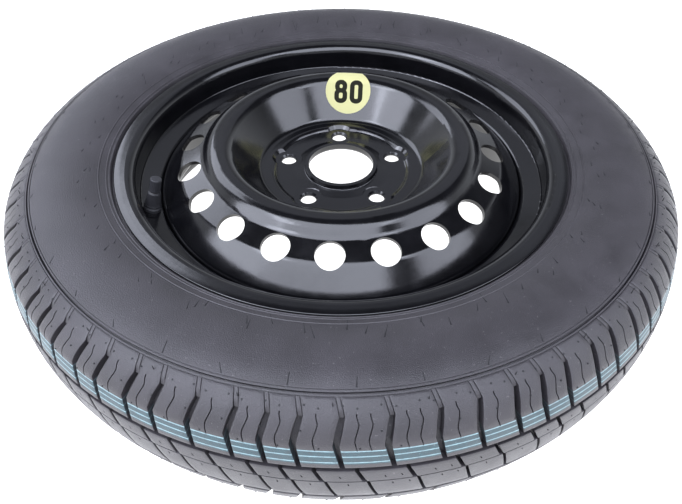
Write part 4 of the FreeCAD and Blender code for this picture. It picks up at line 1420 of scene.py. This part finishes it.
@dataclass
class Studio:
    """The floor, the soft lights and the camera."""

    floor_height: float
    floor_half: float = 6.0
    floor_colour: Colour = (0.5, 0.5, 0.5, 1.0)
    floor_roughness: float = 0.9
    glow_colour: Colour = (1.0, 1.0, 1.0, 1.0)
    glow_strength: float = 1.35
    light_colour: tuple[float, float, float] = (0.82, 0.86, 1.0)
    light_target: Vector = Vector((0.0, 0.0, 0.05))
    # The walls' light: between these two heights it fades from the first strength to the second.
    wall_colour: Colour = (0.88, 0.92, 1.0, 1.0)
    fade_heights: Point = (0.1, 0.65)
    fade_strengths: Point = (0.85, 0.05)
    camera_place: Vector = Vector((0.0, -0.49364, 0.39900))
    camera_tilt: float = math.radians(44.497)
    focal_pixels: float = 593.8
    image_width: int = 682
    sensor: float = 36.0
    clip_start: float = 0.01

    def build(self) -> None:
        """Set up the whole studio."""
        self.floor()
        self.world()
        for softbox in SOFTBOXES:
            self.light(softbox)
        self.camera()
        bpy.context.scene.view_settings.view_transform = "Standard"

    def floor(self) -> None:
        """Lay the pale floor."""
        bm = bmesh.new()
        half = self.floor_half
        corners = [(-half, -half), (half, -half), (half, half), (-half, half)]
        bm.faces.new([bm.verts.new((x, y, self.floor_height)) for x, y in corners])
        floor = new_piece("studio_floor", bm)
        white = bpy.data.materials.new("floor_white")
        white.use_nodes = True
        shader = white.node_tree.nodes["Principled BSDF"]
        shader.inputs["Base Color"].default_value = self.floor_colour
        shader.inputs["Roughness"].default_value = self.floor_roughness
        shader.inputs["Emission Color"].default_value = self.glow_colour
        shader.inputs["Emission Strength"].default_value = self.glow_strength
        paint(floor, white)

    def world(self) -> None:
        """Light the room from its walls, with a dark ceiling."""
        world = bpy.data.worlds.new("studio_world")
        bpy.context.scene.world = world
        world.use_nodes = True
        tree = world.node_tree
        where = put(tree, "ShaderNodeTexCoord").outputs["Generated"]
        up = put(tree, "ShaderNodeSeparateXYZ", {0: where}).outputs[2]
        fade = put(tree, "ShaderNodeMapRange", {
            "Value": up, "From Min": self.fade_heights[0], "From Max": self.fade_heights[1],
            "To Min": self.fade_strengths[0], "To Max": self.fade_strengths[1]},
            interpolation_type="SMOOTHSTEP")
        tree.nodes["Background"].inputs["Color"].default_value = self.wall_colour
        tree.links.new(fade.outputs[0], tree.nodes["Background"].inputs["Strength"])

    def light(self, softbox: Softbox) -> None:
        """Hang one softbox.

        Args:
            softbox: The light.
        """
        data = bpy.data.lights.new(softbox.name, "AREA")
        data.shape = "RECTANGLE"
        data.size, data.size_y = softbox.size
        data.energy = softbox.power
        data.color = self.light_colour
        lamp = link_object(softbox.name, data)
        lamp.location = softbox.place
        aim = self.light_target - Vector(softbox.place)
        lamp.rotation_euler = aim.to_track_quat("-Z", "Y").to_euler()

    def camera(self) -> None:
        """Set the camera at the photograph's view."""
        data = bpy.data.cameras.new("camera")
        data.sensor_width = self.sensor
        data.lens = self.focal_pixels * self.sensor / self.image_width
        data.clip_start = self.clip_start
        camera = link_object("camera", data)
        camera.location = self.camera_place
        camera.rotation_euler = (self.camera_tilt, 0.0, 0.0)
        bpy.context.scene.camera = camera


def finishes() -> dict[Slot, Finish]:
    """Give each slot's finish.

    Returns:
        The finishes by slot.
    """
    return {
        Slot.TYRE: Finish("tyre_rubber", (0.038, 0.0345, 0.039, 1.0), drift=0.22, drift_scale=24.0,
                          roughness=(0.36, 0.5), specular=0.7, grain_scale=1300.0, grain_depth=0.26 * MM,
                          ring_pitch=1.4 * MM, ring_depth=0.05 * MM, dust=0.17, dust_scale=520.0),
        Slot.PAINT: Finish("wheel_paint", (0.0035, 0.0035, 0.0045, 1.0), drift=0.3, drift_scale=30.0,
                           roughness=(0.13, 0.2), specular=0.85, grain_scale=160.0, grain_depth=0.03 * MM,
                           dust=0.05, dust_scale=700.0, dust_threshold=0.72),
        Slot.LABEL: SpeedLabel().finish(),
        Slot.VALVE: Finish("valve_rubber", (0.022, 0.022, 0.025, 1.0), roughness=(0.42, 0.55), dust=0.1),
        Slot.BRASS: Finish("valve_brass", (0.72, 0.5, 0.2, 1.0), roughness=(0.25, 0.4), metallic=1.0,
                           grain_scale=1800.0, grain_depth=0.01 * MM),
        Slot.SEAL: Finish("seal_rubber", (0.05, 0.012, 0.01, 1.0), roughness=(0.5, 0.62)),
        Slot.SPRING: Finish("spring_steel", (0.55, 0.55, 0.56, 1.0), roughness=(0.22, 0.34), metallic=1.0,
                            grain_scale=2400.0, grain_depth=0.005 * MM),
        Slot.CAP: Finish("cap_plastic", (0.03, 0.03, 0.034, 1.0), roughness=(0.36, 0.5), dust=0.12),
    }


SLOT_NODES = {
    Slot.PAINT: ("rim", "wheel_disc", "disc_welds"),
    Slot.LABEL: ("speed_label",),
    Slot.VALVE: ("valve_body",),
    Slot.BRASS: ("valve_stem", "core_barrel", "core_pin", "core_cup"),
    Slot.SEAL: ("core_barrel_seal", "core_cup_seal", "cap_seal"),
    Slot.SPRING: ("core_spring",),
    Slot.CAP: ("valve_cap",),
}


def main() -> None:
    """Build the tyre, dress the CAD pieces and set up the studio."""
    logging.basicConfig(level=logging.INFO, format="%(name)s: %(message)s")
    effects = Effects()
    chosen = finishes()
    rubber = chosen[Slot.TYRE]
    low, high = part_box("tyre")
    section = TyreSection(tyre_radius=high.x, half_width=high.z)
    stripes = StripedRubber(**{**asdict(rubber), "name": "striped_rubber"})
    # The whiskers and nubs are real, but their rubber is made darker than the tyre's as painted shade for
    # their shadows.
    whiskers = Finish("whisker_rubber", (0.012, 0.012, 0.014, 1.0), roughness=(0.5, 0.6))
    tyre = Tyre(rubber.material(effects), stripes.material(effects), whiskers.material(effects), section)
    pieces = tyre.build()
    tyre.dress(pieces)
    for slot, nodes in SLOT_NODES.items():
        DressedNodes(chosen[slot], nodes).dress(effects)
        log.info("%s on %s", chosen[slot].name, ", ".join(nodes))
    pieces.append(CoreSpring(frame["nodes"]["core_spring"].data.materials[0]).build())
    rim_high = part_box("rim")[1]
    pieces += FlangeEdges(frame["nodes"]["rim"].data.materials[0], rim_high.x, rim_high.z).build()
    for piece in pieces:
        log.info("%s: %d faces", piece.name, len(piece.data.polygons))
    Studio(floor_height=low.z).build()


if __name__ == "__main__":
    main()
